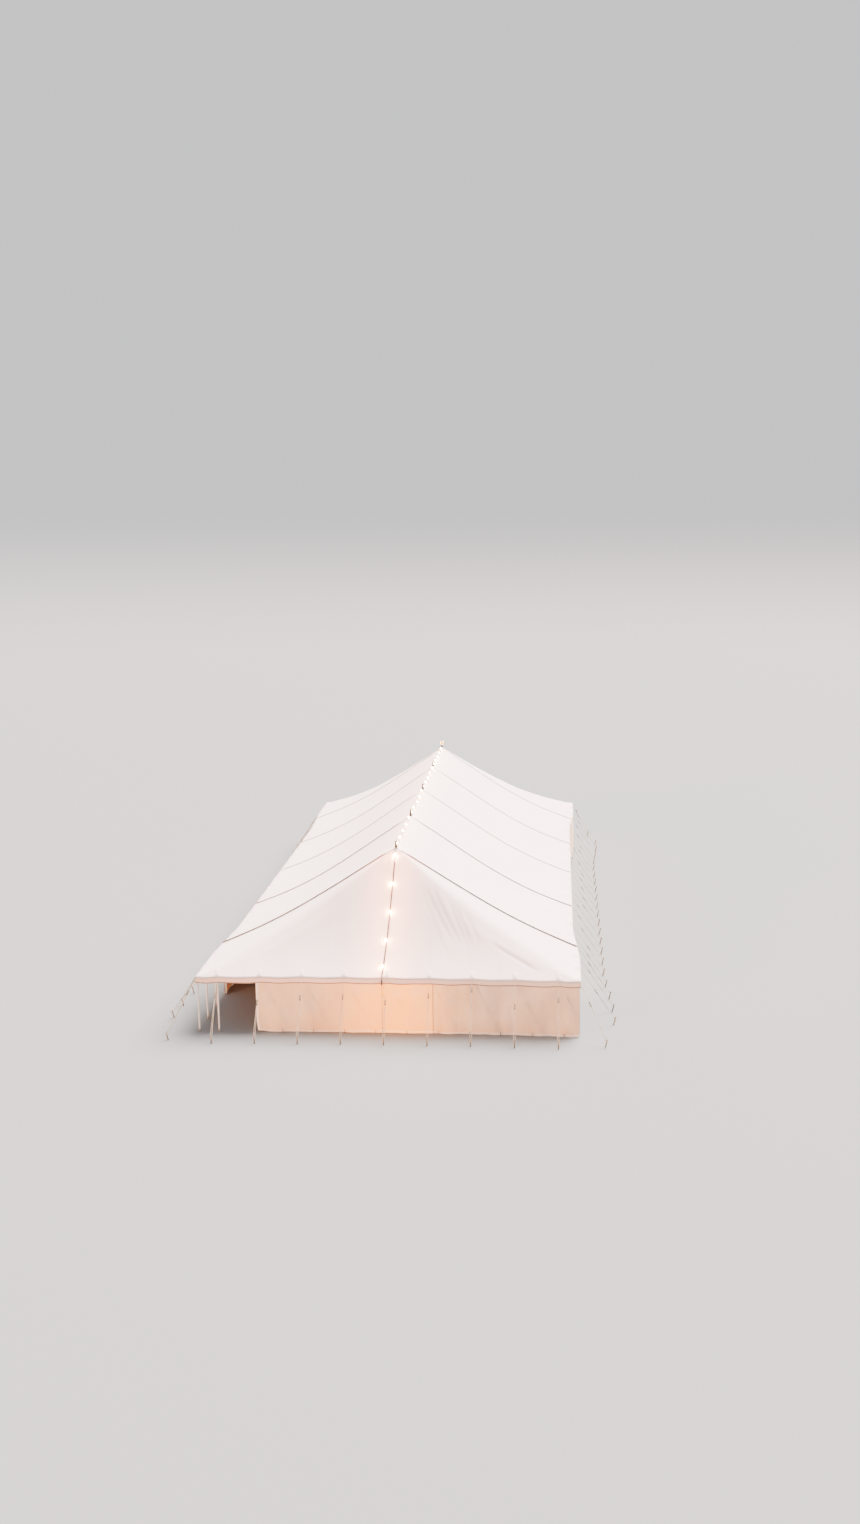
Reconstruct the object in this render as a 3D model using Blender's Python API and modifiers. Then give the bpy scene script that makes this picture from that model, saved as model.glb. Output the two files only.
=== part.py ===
"""Traditional canvas pole marquee: five king poles under a white roof with short hip ends,
side walls hung inside a valance, side poles, guy ropes with stakes, and festoon lights.

Metres, +Z up. The ground is z = 0, the long axis is Y, the entrance end is at -Y, and the
origin is the middle of the plan."""

import math

import bmesh
import bpy
from mathutils import Matrix, Vector
from mathutils.bvhtree import BVHTree

# Plan and heights
WIDTH = 12.2
HIP_DEPTH = 3.65
BAY_LENGTH = 5.0
BAYS = 4
EAVE_HEIGHT = 1.83
APEX_HEIGHT = 5.2

# The set of the canvas between what carries it
SIDE_BOW = 0.2
FLARE_START = 2.5
FLARE_LENGTH = 4.2
END_BOW = 0.15
SLOPE_SAG = 0.3
SAG_SKEW = 1.27
BAY_SAG = 0.05
RIDGE_SAG = 0.05
SLOPE_STEPS = 8

# Cloth thicknesses and widths
CANVAS = 0.012
VALANCE_DEPTH = 0.2
VALANCE_THICKNESS = 0.008
WALL_THICKNESS = 0.01
WALL_INSET = 0.03
WALL_LAP = 0.12
OPEN_FRONT_SPACES = 2

# Poles
KING_RADIUS = 0.055
SPIKE_RADIUS = 0.012
SPIKE_RISE = 0.3
SPIKE_POINT = 0.04
EYELET_CLEARANCE = 0.006
SIDE_POLE_RADIUS = 0.028
POLES_PER_BAY = 4
POLES_PER_HIP = 3
HALF_END_POLES = 4
CORNER_SPACE = 0.7
WALL_ROPE_RADIUS = 0.006
WALL_ROPE_DROP = 0.13
WALL_ABOVE_ROPE = 0.04

# Guy ropes and stakes
WEBBING_WIDTH = 0.045
WEBBING_THICKNESS = 0.01
GUY_RADIUS = 0.007
GUY_REACH = 1.1
CORNER_REACH = 0.8
TIE_HEIGHT = 0.2
STAKE_HEIGHT = 0.27
STAKE_RADIUS = 0.022
STAKE_LEAN = 0.25

# Festoon lights
CABLE_RADIUS = 0.006
BULB_RADIUS = 0.03
BULB_PITCH = 1.04
FIRST_BULB = 0.33
FESTOON_SHIFT = -0.15
CABLE_HANG = 0.03
CABLE_END_HEIGHT = 0.12

# Touching pieces keep this much air between them
GAP = 0.0003

KING_Y = [(i - BAYS / 2) * BAY_LENGTH for i in range(BAYS + 1)]
HALF_WIDTH = WIDTH / 2
HALF_RIDGE = BAYS * BAY_LENGTH / 2
HALF_LENGTH = HALF_RIDGE + HIP_DEPTH
EYELET_RADIUS = SPIKE_RADIUS + EYELET_CLEARANCE
CANVAS_UNDER_EAVE = EAVE_HEIGHT - CANVAS
WALL_ROPE_HEIGHT = EAVE_HEIGHT - WALL_ROPE_DROP
WALL_HEIGHT = WALL_ROPE_HEIGHT + WALL_ABOVE_ROPE
END_PITCH = (HALF_WIDTH - CORNER_SPACE) / HALF_END_POLES
POLE_INSET = WALL_INSET + WALL_THICKNESS + GAP + SIDE_POLE_RADIUS

# Name: colour, roughness, metallic
FINISHES = {
    "roof_canvas": ((0.86, 0.82, 0.82), 0.8, 0.0),
    "wall_canvas": ((0.78, 0.66, 0.56), 0.85, 0.0),
    "pole_wood": ((0.62, 0.50, 0.36), 0.55, 0.0),
    "king_pole_wood": ((0.50, 0.36, 0.22), 0.5, 0.0),
    "guy_rope": ((0.72, 0.64, 0.50), 0.9, 0.0),
    "festoon": ((0.95, 0.62, 0.30), 0.3, 0.0),
}


def smoothstep(value):
    value = min(max(value, 0.0), 1.0)
    return value * value * (3 - 2 * value)


def side_eave(y):
    """Half the width at the eaves: drawn in along the bays, flaring out to the corners."""
    inland = 1 - smoothstep((abs(y) - HALF_RIDGE + FLARE_START) / FLARE_LENGTH)
    return HALF_WIDTH - SIDE_BOW * inland


def end_eave(x):
    """Half the length at the eaves, drawn in at the middle of each end."""
    return HALF_LENGTH - END_BOW * (1 - (x / HALF_WIDTH) ** 2)


def slope_height(crown, t, sag):
    """Height of the canvas at the share t of the way from its crown down to the eave."""
    return EAVE_HEIGHT + (crown - EAVE_HEIGHT) * (1 - t) - sag * math.sin(math.pi * t**SAG_SKEW)


def ridge_height(share):
    """Height of the ridge at a share of the bay from one king pole to the next."""
    return APEX_HEIGHT - RIDGE_SAG * math.sin(math.pi * share)


def hip_side_y():
    """Where the side poles stand beside one hip end, from the last king pole to the corner."""
    return [HALF_RIDGE + HIP_DEPTH * i / POLES_PER_HIP for i in range(POLES_PER_HIP)]


def side_station_y():
    """Where the side poles stand along one side, without the corners."""
    count = BAYS * POLES_PER_BAY
    middle = [-HALF_RIDGE + 2 * HALF_RIDGE * i / count for i in range(1, count)]
    hips = hip_side_y()
    return [-y for y in reversed(hips)] + middle + hips


def end_station_x():
    """Where the poles stand across one end, without the corners."""
    return [i * END_PITCH for i in range(-HALF_END_POLES, HALF_END_POLES + 1)]


def finish(name):
    material = bpy.data.materials.new(name)
    material.use_nodes = True
    colour, roughness, metallic = FINISHES[name]
    shader = material.node_tree.nodes["Principled BSDF"]
    shader.inputs["Base Color"].default_value = (*colour, 1.0)
    shader.inputs["Roughness"].default_value = roughness
    shader.inputs["Metallic"].default_value = metallic
    material.diffuse_color = (*colour, 1.0)
    return material


def new_object(name, bm, collection, material=None):
    mesh = bpy.data.meshes.new(name)
    bm.to_mesh(mesh)
    bm.free()
    obj = bpy.data.objects.new(name, mesh)
    collection.objects.link(obj)
    if material:
        mesh.materials.append(material)
    return obj


def grid_surface(columns, rows, place):
    """A grid of faces whose points are put on a surface by place(column, row)."""
    bm = bmesh.new()
    bmesh.ops.create_grid(bm, x_segments=columns, y_segments=rows, size=0.5)
    for vert in bm.verts:
        column = round((vert.co.x + 0.5) * columns)
        row = round((vert.co.y + 0.5) * rows)
        vert.co = place(column, row)
    bmesh.ops.remove_doubles(bm, verts=bm.verts[:], dist=0.0001)
    return bm


def thicken(bm, offset):
    """Gives an open surface its thickness: a second face, set off by a vector."""
    made = bmesh.ops.extrude_face_region(bm, geom=bm.faces[:])["geom"]
    moved = [item for item in made if isinstance(item, bmesh.types.BMVert)]
    bmesh.ops.translate(bm, verts=moved, vec=offset)
    bmesh.ops.recalc_face_normals(bm, faces=bm.faces[:])


def add_rod(bm, start, end, radius, sides):
    """A straight round bar with flat ends."""
    axis = end - start
    turn = axis.to_track_quat("Z", "Y").to_matrix().to_4x4()
    bmesh.ops.create_cone(
        bm,
        cap_ends=True,
        segments=sides,
        radius1=radius,
        radius2=radius,
        depth=axis.length,
        matrix=Matrix.Translation((start + end) / 2) @ turn,
    )


def add_stake(bm, tie, outward):
    """A round stake through the rope's tie, leaning away from the tent, cut level at the ground."""
    lean = outward * STAKE_LEAN
    shear = Matrix.Identity(4)
    shear[0][2] = lean.x
    shear[1][2] = lean.y
    foot = Vector((tie.x, tie.y, 0.0)) - lean * tie.z
    bmesh.ops.create_cone(
        bm,
        cap_ends=True,
        segments=6,
        radius1=STAKE_RADIUS,
        radius2=STAKE_RADIUS,
        depth=STAKE_HEIGHT,
        matrix=Matrix.Translation(foot) @ shear @ Matrix.Translation((0, 0, STAKE_HEIGHT / 2)),
    )


def tube_mesh(name, points, radius, collection):
    """A round cable or rope through points, as a closed mesh."""
    curve = bpy.data.curves.new(name, "CURVE")
    curve.dimensions = "3D"
    curve.bevel_depth = radius
    curve.bevel_resolution = 2
    curve.use_fill_caps = True
    spline = curve.splines.new("POLY")
    spline.points.add(len(points) - 1)
    for point, place in zip(spline.points, points):
        point.co = (*place, 1.0)
    guide = bpy.data.objects.new(name + "_route", curve)
    collection.objects.link(guide)
    bpy.context.view_layer.update()
    drawn = guide.evaluated_get(bpy.context.evaluated_depsgraph_get())
    mesh = bpy.data.meshes.new_from_object(drawn)
    matrix = guide.matrix_world.copy()
    bpy.data.objects.remove(guide)
    bm = bmesh.new()
    bm.from_mesh(mesh)
    bmesh.ops.remove_doubles(bm, verts=bm.verts[:], dist=0.00001)
    bmesh.ops.recalc_face_normals(bm, faces=bm.faces[:])
    bm.to_mesh(mesh)
    bm.free()
    obj = bpy.data.objects.new(name, mesh)
    obj.matrix_world = matrix
    collection.objects.link(obj)
    return obj


def fuse(obj, others):
    """Joins the other objects into this one, as one body, and removes them."""
    for other in others:
        join = obj.modifiers.new("join_" + other.name, "BOOLEAN")
        join.operation = "UNION"
        join.solver = "EXACT"
        join.object = other
    bpy.context.view_layer.update()
    joined = obj.evaluated_get(bpy.context.evaluated_depsgraph_get())
    mesh = bpy.data.meshes.new_from_object(joined)
    obj.modifiers.clear()
    obj.data = mesh
    for other in others:
        bpy.data.objects.remove(other)


def round_shading(obj):
    obj.data.shade_smooth()
    obj.data.set_sharp_from_angle(angle=math.radians(40))


def build_roof(parts, cutters, material):
    """The two hip ends and the bays, each one canvas section that ends at the king poles."""
    surfaces = []
    sections = []

    def section(name, columns, rows, place):
        bm = grid_surface(columns, rows, place)
        bmesh.ops.recalc_face_normals(bm, faces=bm.faces[:])
        surfaces.append(BVHTree.FromBMesh(bm))
        thicken(bm, Vector((0, 0, -CANVAS)))
        sections.append(new_object(name, bm, parts, material))

    for name, sign in (("roof_end_front", -1), ("roof_end_back", 1)):
        seam_y = HALF_RIDGE + GAP / 2
        sides = [seam_y] + hip_side_y()[1:]
        right = [(side_eave(y), y) for y in sides] + [(HALF_WIDTH, HALF_LENGTH)]
        across = [(x, end_eave(x)) for x in reversed(end_station_x())]
        rim = right + across + [(-x, y) for x, y in reversed(right)]

        def end_place(column, row):
            x, y = rim[column]
            t = row / SLOPE_STEPS
            return Vector(
                (t * x, sign * (seam_y + t * (y - seam_y)), slope_height(APEX_HEIGHT, t, SLOPE_SAG))
            )

        section(name, len(rim) - 1, SLOPE_STEPS, end_place)

    for bay in range(BAYS):
        start = KING_Y[bay] + GAP / 2
        length = BAY_LENGTH - GAP

        def bay_place(column, row):
            share = row / POLES_PER_BAY
            across = column / SLOPE_STEPS - 1
            y = start + length * share
            sag = SLOPE_SAG + BAY_SAG * math.sin(math.pi * share)
            z = slope_height(ridge_height(share), abs(across), sag)
            return Vector((across * side_eave(y), y, z))

        section(f"roof_bay_{bay + 1}", 2 * SLOPE_STEPS, POLES_PER_BAY, bay_place)

    bm = bmesh.new()
    for y in KING_Y:
        reach = Vector((0, 0, APEX_HEIGHT - EAVE_HEIGHT)) / 2
        crown = Vector((0, y, APEX_HEIGHT))
        add_rod(bm, crown - reach, crown + reach, EYELET_RADIUS, 12)
    eyelets = new_object("crown_eyelets", bm, cutters)
    eyelets.hide_render = True
    eyelets.display_type = "WIRE"
    for obj in sections:
        cut = obj.modifiers.new("crown_eyelets", "BOOLEAN")
        cut.operation = "DIFFERENCE"
        cut.solver = "EXACT"
        cut.object = eyelets
        round_shading(obj)
    return surfaces


def canvas_at(surfaces, x, y):
    """The roof's upper face at a point of the plan, which may lie on a seam: its height, and the
    upward part of its steepest normal. The faces just before and behind the point are carried on
    to it."""
    beside = 0.001
    heights = []
    normals = []
    for shift in (-beside, beside):
        for surface in surfaces:
            above = Vector((x, y + shift, 2 * APEX_HEIGHT))
            hit, normal, _, _ = surface.ray_cast(above, Vector((0, 0, -1)))
            if hit:
                heights.append(hit.z + shift * normal.y / normal.z)
                normals.append(abs(normal.z))
    return min(heights), min(normals)


def pole_top(surfaces, x, y, radius):
    """How high a flat-topped pole can reach before its rim meets the canvas."""
    rim = [(x + radius * math.cos(a), y + radius * math.sin(a)) for a in rim_angles()]
    return min(canvas_at(surfaces, *point)[0] for point in rim) - CANVAS - GAP


def rim_angles():
    return [math.tau * i / 24 for i in range(24)]


def build_king_poles(parts, surfaces, material):
    """Each king pole stands on the ground, with a spike through the eyelet in the canvas."""
    for number, y in enumerate(KING_Y, 1):
        shoulder = pole_top(surfaces, 0.0, y, KING_RADIUS)
        tip = APEX_HEIGHT + SPIKE_RISE
        profile = (
            (0.0, tip),
            (SPIKE_RADIUS, tip - SPIKE_POINT),
            (SPIKE_RADIUS, shoulder),
            (KING_RADIUS, shoulder),
            (KING_RADIUS, 0.0),
            (0.0, 0.0),
        )
        bm = bmesh.new()
        verts = [bm.verts.new((x, 0, z)) for x, z in profile]
        for a, b in zip(verts, verts[1:]):
            bm.edges.new((a, b))
        pole = new_object(f"king_pole_{number}", bm, parts, material)
        pole.location = (0, y, 0)
        turn = pole.modifiers.new("turned", "SCREW")
        turn.steps = 12
        turn.render_steps = 12
        turn.use_merge_vertices = True
        turn.merge_threshold = 0.0001
        turn.use_smooth_shade = False


def side_line(side, inset):
    """Points of the plan along one side, corner to corner, set in from the eave."""
    stations = [-HALF_LENGTH] + side_station_y() + [HALF_LENGTH]
    return [Vector((side * (side_eave(y) - inset), y)) for y in stations]


def end_line(side, inset):
    """Points of the plan across one end, corner to corner, set in from the eave."""
    stations = [-HALF_WIDTH] + end_station_x() + [HALF_WIDTH]
    return [Vector((x, side * (end_eave(x) - inset))) for x in stations]


def point_on(line, axis, value):
    """Where a line of the plan reaches a value of x (axis 0) or y (axis 1)."""
    for a, b in zip(line, line[1:]):
        if a[axis] <= value <= b[axis]:
            return a.lerp(b, (value - a[axis]) / (b[axis] - a[axis]))
    return None


def trimmed(line, axis, low, high):
    """The stretch of a line between two values of x (axis 0) or y (axis 1)."""
    inner = [point for point in line if low + GAP < point[axis] < high - GAP]
    return [point_on(line, axis, low)] + inner + [point_on(line, axis, high)]


def hanging_sheet(name, line, bottom, top, offset, parts, material):
    """An upright strip of cloth above a line of the plan, with its thickness as a vector."""

    def place(column, row):
        return Vector((line[column].x, line[column].y, (bottom, top)[row]))

    bm = grid_surface(len(line) - 1, 1, place)
    thicken(bm, Vector(offset))
    return new_object(name, bm, parts, material)


def build_valances(parts, material):
    """The band of canvas that hangs from each eave, flush with the roof's edge."""
    top = CANVAS_UNDER_EAVE - GAP
    bottom = top - VALANCE_DEPTH
    corner = point_on(end_line(1, 0.0), 0, HALF_WIDTH - VALANCE_THICKNESS)
    reach = corner.y - VALANCE_THICKNESS - GAP
    for name, side in (("valance_left", -1), ("valance_right", 1)):
        line = trimmed(side_line(side, 0.0), 1, -reach, reach)
        offset = (-side * VALANCE_THICKNESS, 0, 0)
        hanging_sheet(name, line, bottom, top, offset, parts, material)
    for name, side in (("valance_front", -1), ("valance_back", 1)):
        offset = (0, -side * VALANCE_THICKNESS, 0)
        hanging_sheet(name, end_line(side, 0.0), bottom, top, offset, parts, material)


def build_walls(parts, material):
    """Wall curtains between the poles and the valance, standing on the ground. The front keeps
    two pole spaces open at its left, and both sides are open beside the front hip end."""
    reach_x = HALF_WIDTH - WALL_INSET
    opening = CORNER_SPACE + (OPEN_FRONT_SPACES - 1) * END_PITCH - WALL_LAP
    for name, side in (("wall_front", -1), ("wall_back", 1)):
        line = end_line(side, WALL_INSET)
        start = opening - HALF_WIDTH if side < 0 else -reach_x
        left = trimmed(line, 0, start, END_PITCH)
        right = trimmed(line, 0, END_PITCH + GAP, reach_x)
        offset = (0, -side * WALL_THICKNESS, 0)
        for number, piece in enumerate((left, right), 1):
            hanging_sheet(f"{name}_{number}", piece, 0, WALL_HEIGHT, offset, parts, material)

    corner = point_on(end_line(1, WALL_INSET), 0, reach_x - WALL_THICKNESS)
    joints = KING_Y + [corner.y - WALL_THICKNESS - GAP]
    for name, side in (("wall_left", -1), ("wall_right", 1)):
        line = side_line(side, WALL_INSET)
        for number, (start, end) in enumerate(zip(joints, joints[1:]), 1):
            piece = trimmed(line, 1, start + GAP, end)
            offset = (-side * WALL_THICKNESS, 0, 0)
            hanging_sheet(f"{name}_{number}", piece, 0, WALL_HEIGHT, offset, parts, material)


def build_pole_rows(parts, cutters, surfaces, material):
    """The poles of each side in a row, tied together by the wall rope that the walls hang on."""
    corner_x = HALF_WIDTH - POLE_INSET
    rows = {}
    corner_y = point_on(end_line(1, POLE_INSET), 0, corner_x).y
    for name, side in (("poles_left", -1), ("poles_right", 1)):
        line = side_line(side, POLE_INSET)
        stop = corner_y - SIDE_POLE_RADIUS - GAP
        rows[name] = (line[1:-1], trimmed(line, 1, -stop, stop))
    for name, side in (("poles_front", -1), ("poles_back", 1)):
        poles = trimmed(end_line(side, POLE_INSET), 0, -corner_x, corner_x)
        rows[name] = (poles, poles)
    for name, (poles, route) in rows.items():
        points = [Vector((p.x, p.y, WALL_ROPE_HEIGHT)) for p in route]
        row = tube_mesh(name, points, WALL_ROPE_RADIUS, parts)
        bm = bmesh.new()
        for pole in poles:
            top = pole_top(surfaces, pole.x, pole.y, SIDE_POLE_RADIUS)
            foot = Vector((pole.x, pole.y, 0))
            add_rod(bm, foot, foot + Vector((0, 0, top)), SIDE_POLE_RADIUS, 8)
        fuse(row, [new_object(name + "_uprights", bm, cutters)])
        row.data.materials.clear()
        row.data.materials.append(material)
        round_shading(row)


def build_guys(parts, cutters, material):
    """Guy ropes from the eave webbing to stakes in the ground, one at each pole and one
    diagonally at each corner."""
    top = EAVE_HEIGHT - GAP
    bottom = top - WEBBING_WIDTH
    knot = (top + bottom) / 2
    out = GAP + WEBBING_THICKNESS
    rows = {}
    for name, side in (("guys_left", -1), ("guys_right", 1)):
        outward = Vector((side, 0, 0))
        line = side_line(side, -GAP)
        starts = side_line(side, -out)[1:-1]
        rows[name] = (line, outward, [(p, outward * GUY_REACH) for p in starts])
    for name, side in (("guys_front", -1), ("guys_back", 1)):
        outward = Vector((0, side, 0))
        line = end_line(side, -GAP)
        starts = end_line(side, -out)
        ropes = [(p, outward * GUY_REACH) for p in starts[1:-1]]
        for hand, corner in ((-1, starts[0]), (1, starts[-1])):
            knot_x = corner.x - hand * WEBBING_WIDTH / 2
            diagonal = Vector((hand, side, 0)) * CORNER_REACH
            ropes.append((Vector((knot_x, corner.y)), diagonal))
        rows[name] = (line, outward, ropes)
    for name, (line, outward, ropes) in rows.items():
        offset = outward * WEBBING_THICKNESS
        webbing = hanging_sheet(name, line, bottom, top, offset, parts, material)
        lines = bmesh.new()
        stakes = bmesh.new()
        for start, reach in ropes:
            head = Vector((start.x, start.y, knot))
            tie = Vector((start.x, start.y, TIE_HEIGHT)) + reach
            add_rod(lines, head, tie, GUY_RADIUS, 6)
            add_stake(stakes, tie, reach.normalized())
        fuse(
            webbing,
            [
                new_object(name + "_ropes", lines, cutters),
                new_object(name + "_stakes", stakes, cutters),
            ],
        )
        round_shading(webbing)


def bulb_places(points):
    """Middles of the bulbs along a cable, each on the side of it that faces away from the tent."""
    places = []
    due = FIRST_BULB
    for a, b in zip(points, points[1:]):
        run = b - a
        outward = run.cross(Vector((1, 0, 0))).normalized()
        if run.y > 0:
            outward.negate()
        while due < run.length:
            places.append(a.lerp(b, due / run.length) + outward * BULB_RADIUS)
            due += BULB_PITCH
        due -= run.length
    return places


def build_festoon(parts, cutters, surfaces, material):
    """Festoon lights: a cable with round bulbs along the ridge from king pole to king pole,
    and down the front slope, over the eave and down the wall."""
    lift = CABLE_RADIUS + GAP
    beside_spike = SPIKE_RADIUS + GAP + CABLE_RADIUS
    spans = {}
    for bay in range(BAYS):
        points = []
        for row in range(POLES_PER_BAY + 1):
            share = row / POLES_PER_BAY
            y = KING_Y[bay] + BAY_LENGTH * share
            points.append(Vector((0, y, ridge_height(share) + lift)))
        points[0] = points[0].lerp(points[1], beside_spike / BAY_LENGTH * POLES_PER_BAY)
        points[-1] = points[-1].lerp(points[-2], beside_spike / BAY_LENGTH * POLES_PER_BAY)
        spans[f"festoon_ridge_{bay + 1}"] = points

    seam_y = -HALF_RIDGE - GAP / 2
    eave = point_on(end_line(-1, 0.0), 0, FESTOON_SHIFT).y
    points = []
    for row in range(SLOPE_STEPS + 1):
        t = row / SLOPE_STEPS
        x = FESTOON_SHIFT * t
        y = seam_y + (eave - seam_y) * t
        height, upward = canvas_at(surfaces, x, y)
        points.append(Vector((x, y, height + lift / upward)))
    points[0] = points[0].lerp(points[1], beside_spike / (points[0].y - points[1].y))
    outside = eave - WEBBING_THICKNESS - CABLE_HANG
    points.append(Vector((FESTOON_SHIFT, outside + CABLE_HANG / 2, EAVE_HEIGHT + lift)))
    points.append(Vector((FESTOON_SHIFT, outside, EAVE_HEIGHT - CABLE_HANG / 2)))
    points.append(Vector((FESTOON_SHIFT, outside, CABLE_END_HEIGHT)))
    spans["festoon_front"] = points

    for name, route in spans.items():
        cable = tube_mesh(name, route, CABLE_RADIUS, parts)
        bm = bmesh.new()
        for place in bulb_places(route):
            bmesh.ops.create_uvsphere(
                bm,
                u_segments=6,
                v_segments=4,
                radius=BULB_RADIUS,
                matrix=Matrix.Translation(place),
            )
        fuse(cable, [new_object(name + "_bulbs", bm, cutters)])
        cable.data.materials.clear()
        cable.data.materials.append(material)
        round_shading(cable)


def main():
    for obj in list(bpy.data.objects):
        bpy.data.objects.remove(obj)
    parts = bpy.data.collections.new("marquee_tent")
    cutters = bpy.data.collections.new("cutters")
    for collection in (parts, cutters):
        bpy.context.scene.collection.children.link(collection)
    finishes = {name: finish(name) for name in FINISHES}

    surfaces = build_roof(parts, cutters, finishes["roof_canvas"])
    build_king_poles(parts, surfaces, finishes["king_pole_wood"])
    build_valances(parts, finishes["roof_canvas"])
    build_walls(parts, finishes["wall_canvas"])
    build_pole_rows(parts, cutters, surfaces, finishes["pole_wood"])
    build_guys(parts, cutters, finishes["guy_rope"])
    build_festoon(parts, cutters, surfaces, finishes["festoon"])


main()
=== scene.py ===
import math
import random

import bmesh
import bpy
from mathutils import Matrix, Vector, noise


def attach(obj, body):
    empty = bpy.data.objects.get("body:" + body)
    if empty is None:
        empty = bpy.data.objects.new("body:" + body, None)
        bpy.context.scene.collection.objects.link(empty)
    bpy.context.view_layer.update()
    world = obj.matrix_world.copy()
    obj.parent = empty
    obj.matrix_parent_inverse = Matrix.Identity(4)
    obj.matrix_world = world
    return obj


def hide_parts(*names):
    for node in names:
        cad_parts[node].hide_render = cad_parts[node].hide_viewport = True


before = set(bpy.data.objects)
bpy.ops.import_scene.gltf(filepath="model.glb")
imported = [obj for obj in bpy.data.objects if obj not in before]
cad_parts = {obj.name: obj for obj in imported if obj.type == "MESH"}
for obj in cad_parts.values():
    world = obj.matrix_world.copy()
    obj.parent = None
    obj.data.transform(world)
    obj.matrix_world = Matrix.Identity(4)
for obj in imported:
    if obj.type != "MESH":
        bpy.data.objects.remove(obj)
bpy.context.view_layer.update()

# The camera stands raised, beyond the entrance end and a little to its right, and looks along
# the tent.
CAMERA_PLACE = Vector((5.39, -57.96, 16.66))
CAMERA_YAW = math.radians(-5.016)
CAMERA_PITCH = math.radians(10.082)
CAMERA_ROLL = math.radians(-0.891)
LENS = 35.01

camera_data = bpy.data.cameras.new("camera")
camera_data.lens = LENS
camera_data.sensor_width = 36.0
camera_data.clip_end = 1000.0
camera = bpy.data.objects.new("camera", camera_data)
bpy.context.scene.collection.objects.link(camera)
heading = Matrix.Rotation(-CAMERA_YAW, 4, "Z")
tilt = Matrix.Rotation(math.pi / 2 - CAMERA_PITCH, 4, "X") @ Matrix.Rotation(CAMERA_ROLL, 4, "Z")
camera.matrix_world = Matrix.Translation(CAMERA_PLACE) @ heading @ tilt
bpy.context.scene.camera = camera


# The studio is a round pale floor that rises far from the tent into a low backdrop, which fades
# into an even sky. A wide soft light comes from above the far end, a low warm one from the front
# on the left.
FLOOR_RADIUS = 170.0
BACKDROP_RISE = 60.0
BACKDROP_HEIGHT = 28.0
BACKDROP_FADE = 18.5
WARM_LIGHT_HEIGHT = 2.6


class Signal:
    """A number that nodes work out. Python's operators add the Math nodes."""

    def __init__(self, finish, socket):
        self.finish = finish
        self.socket = socket

    def math(self, operation, *values):
        made = self.finish.node("ShaderNodeMath", {"operation": operation}, dict(enumerate(values)))
        return Signal(self.finish, made.outputs[0])

    def __add__(self, other):
        return self.math("ADD", self, other)

    __radd__ = __add__

    def __sub__(self, other):
        return self.math("SUBTRACT", self, other)

    def __rsub__(self, other):
        return self.math("SUBTRACT", other, self)

    def __mul__(self, other):
        return self.math("MULTIPLY", self, other)

    __rmul__ = __mul__

    def __truediv__(self, other):
        return self.math("DIVIDE", self, other)

    def __abs__(self):
        return self.math("ABSOLUTE", self)

    def sine(self):
        return self.math("SINE", self)

    def fraction(self):
        return self.math("FRACT", self)

    def ramp(self, low, high):
        """Goes smoothly from 0 at low to 1 at high."""
        inputs = {"Value": self, "From Min": low, "From Max": high}
        made = self.finish.node("ShaderNodeMapRange", {"interpolation_type": "SMOOTHSTEP"}, inputs)
        return Signal(self.finish, made.outputs[0])


class Finish:
    """A material and its nodes, with its colour so far in tint."""

    def __init__(self, name, roughness):
        self.material = bpy.data.materials.new(name)
        self.material.use_nodes = True
        self.tree = self.material.node_tree
        self.surface = self.tree.nodes["Principled BSDF"]
        self.surface.inputs["Roughness"].default_value = roughness
        self.tint = (1.0, 1.0, 1.0)

    def node(self, kind, settings=None, inputs=None):
        """Adds a node: first its own settings, then the values or links of its sockets."""
        made = self.tree.nodes.new(kind)
        for key, value in (settings or {}).items():
            setattr(made, key, value)
        for key, value in (inputs or {}).items():
            self.plug(made.inputs[key], value)
        return made

    def plug(self, socket, value):
        if isinstance(value, Signal):
            self.tree.links.new(value.socket, socket)
        elif isinstance(value, bpy.types.NodeSocket):
            self.tree.links.new(value, socket)
        elif socket.type == "RGBA":
            socket.default_value = (*value, 1)
        else:
            socket.default_value = value

    def set(self, **inputs):
        for key, value in inputs.items():
            self.plug(self.surface.inputs[key.replace("_", " ")], value)

    def place(self):
        """Object coordinates, in metres."""
        return self.node("ShaderNodeTexCoord").outputs["Object"]

    def parts(self, vector):
        made = self.node("ShaderNodeSeparateXYZ", None, {0: vector})
        return [Signal(self, socket) for socket in made.outputs]

    def cut(self):
        """Across and along the flat cut, in metres, from the piece's own UV map."""
        made = self.node("ShaderNodeUVMap", {"uv_map": "cut"})
        return self.parts(made.outputs[0])[:2]

    def stretched(self, vector, scale):
        return self.node("ShaderNodeMapping", None, {"Vector": vector, "Scale": scale}).outputs[0]

    def noise(self, vector, scale, detail=2.0):
        inputs = {"Vector": vector, "Scale": scale, "Detail": detail}
        return Signal(self, self.node("ShaderNodeTexNoise", None, inputs).outputs["Fac"])

    def mix(self, share, first, second):
        """A colour between two colours."""
        inputs = {0: share, 6: first, 7: second}
        return self.node("ShaderNodeMix", {"data_type": "RGBA"}, inputs).outputs[2]

    def dye(self, share, first, second):
        """Gives the surface a colour between two colours."""
        self.tint = self.mix(share, first, second)
        self.set(Base_Color=self.tint)

    def stain(self, share, colour):
        """Lays a colour over what the surface has so far."""
        self.dye(share, self.tint, colour)

    def bump(self, height, strength, distance, below=None):
        inputs = {"Height": height, "Strength": strength, "Distance": distance}
        if below:
            inputs["Normal"] = below
        return self.node("ShaderNodeBump", None, inputs).outputs["Normal"]


def smooth_step(value):
    value = min(max(value, 0.0), 1.0)
    return value * value * (3 - 2 * value)


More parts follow.
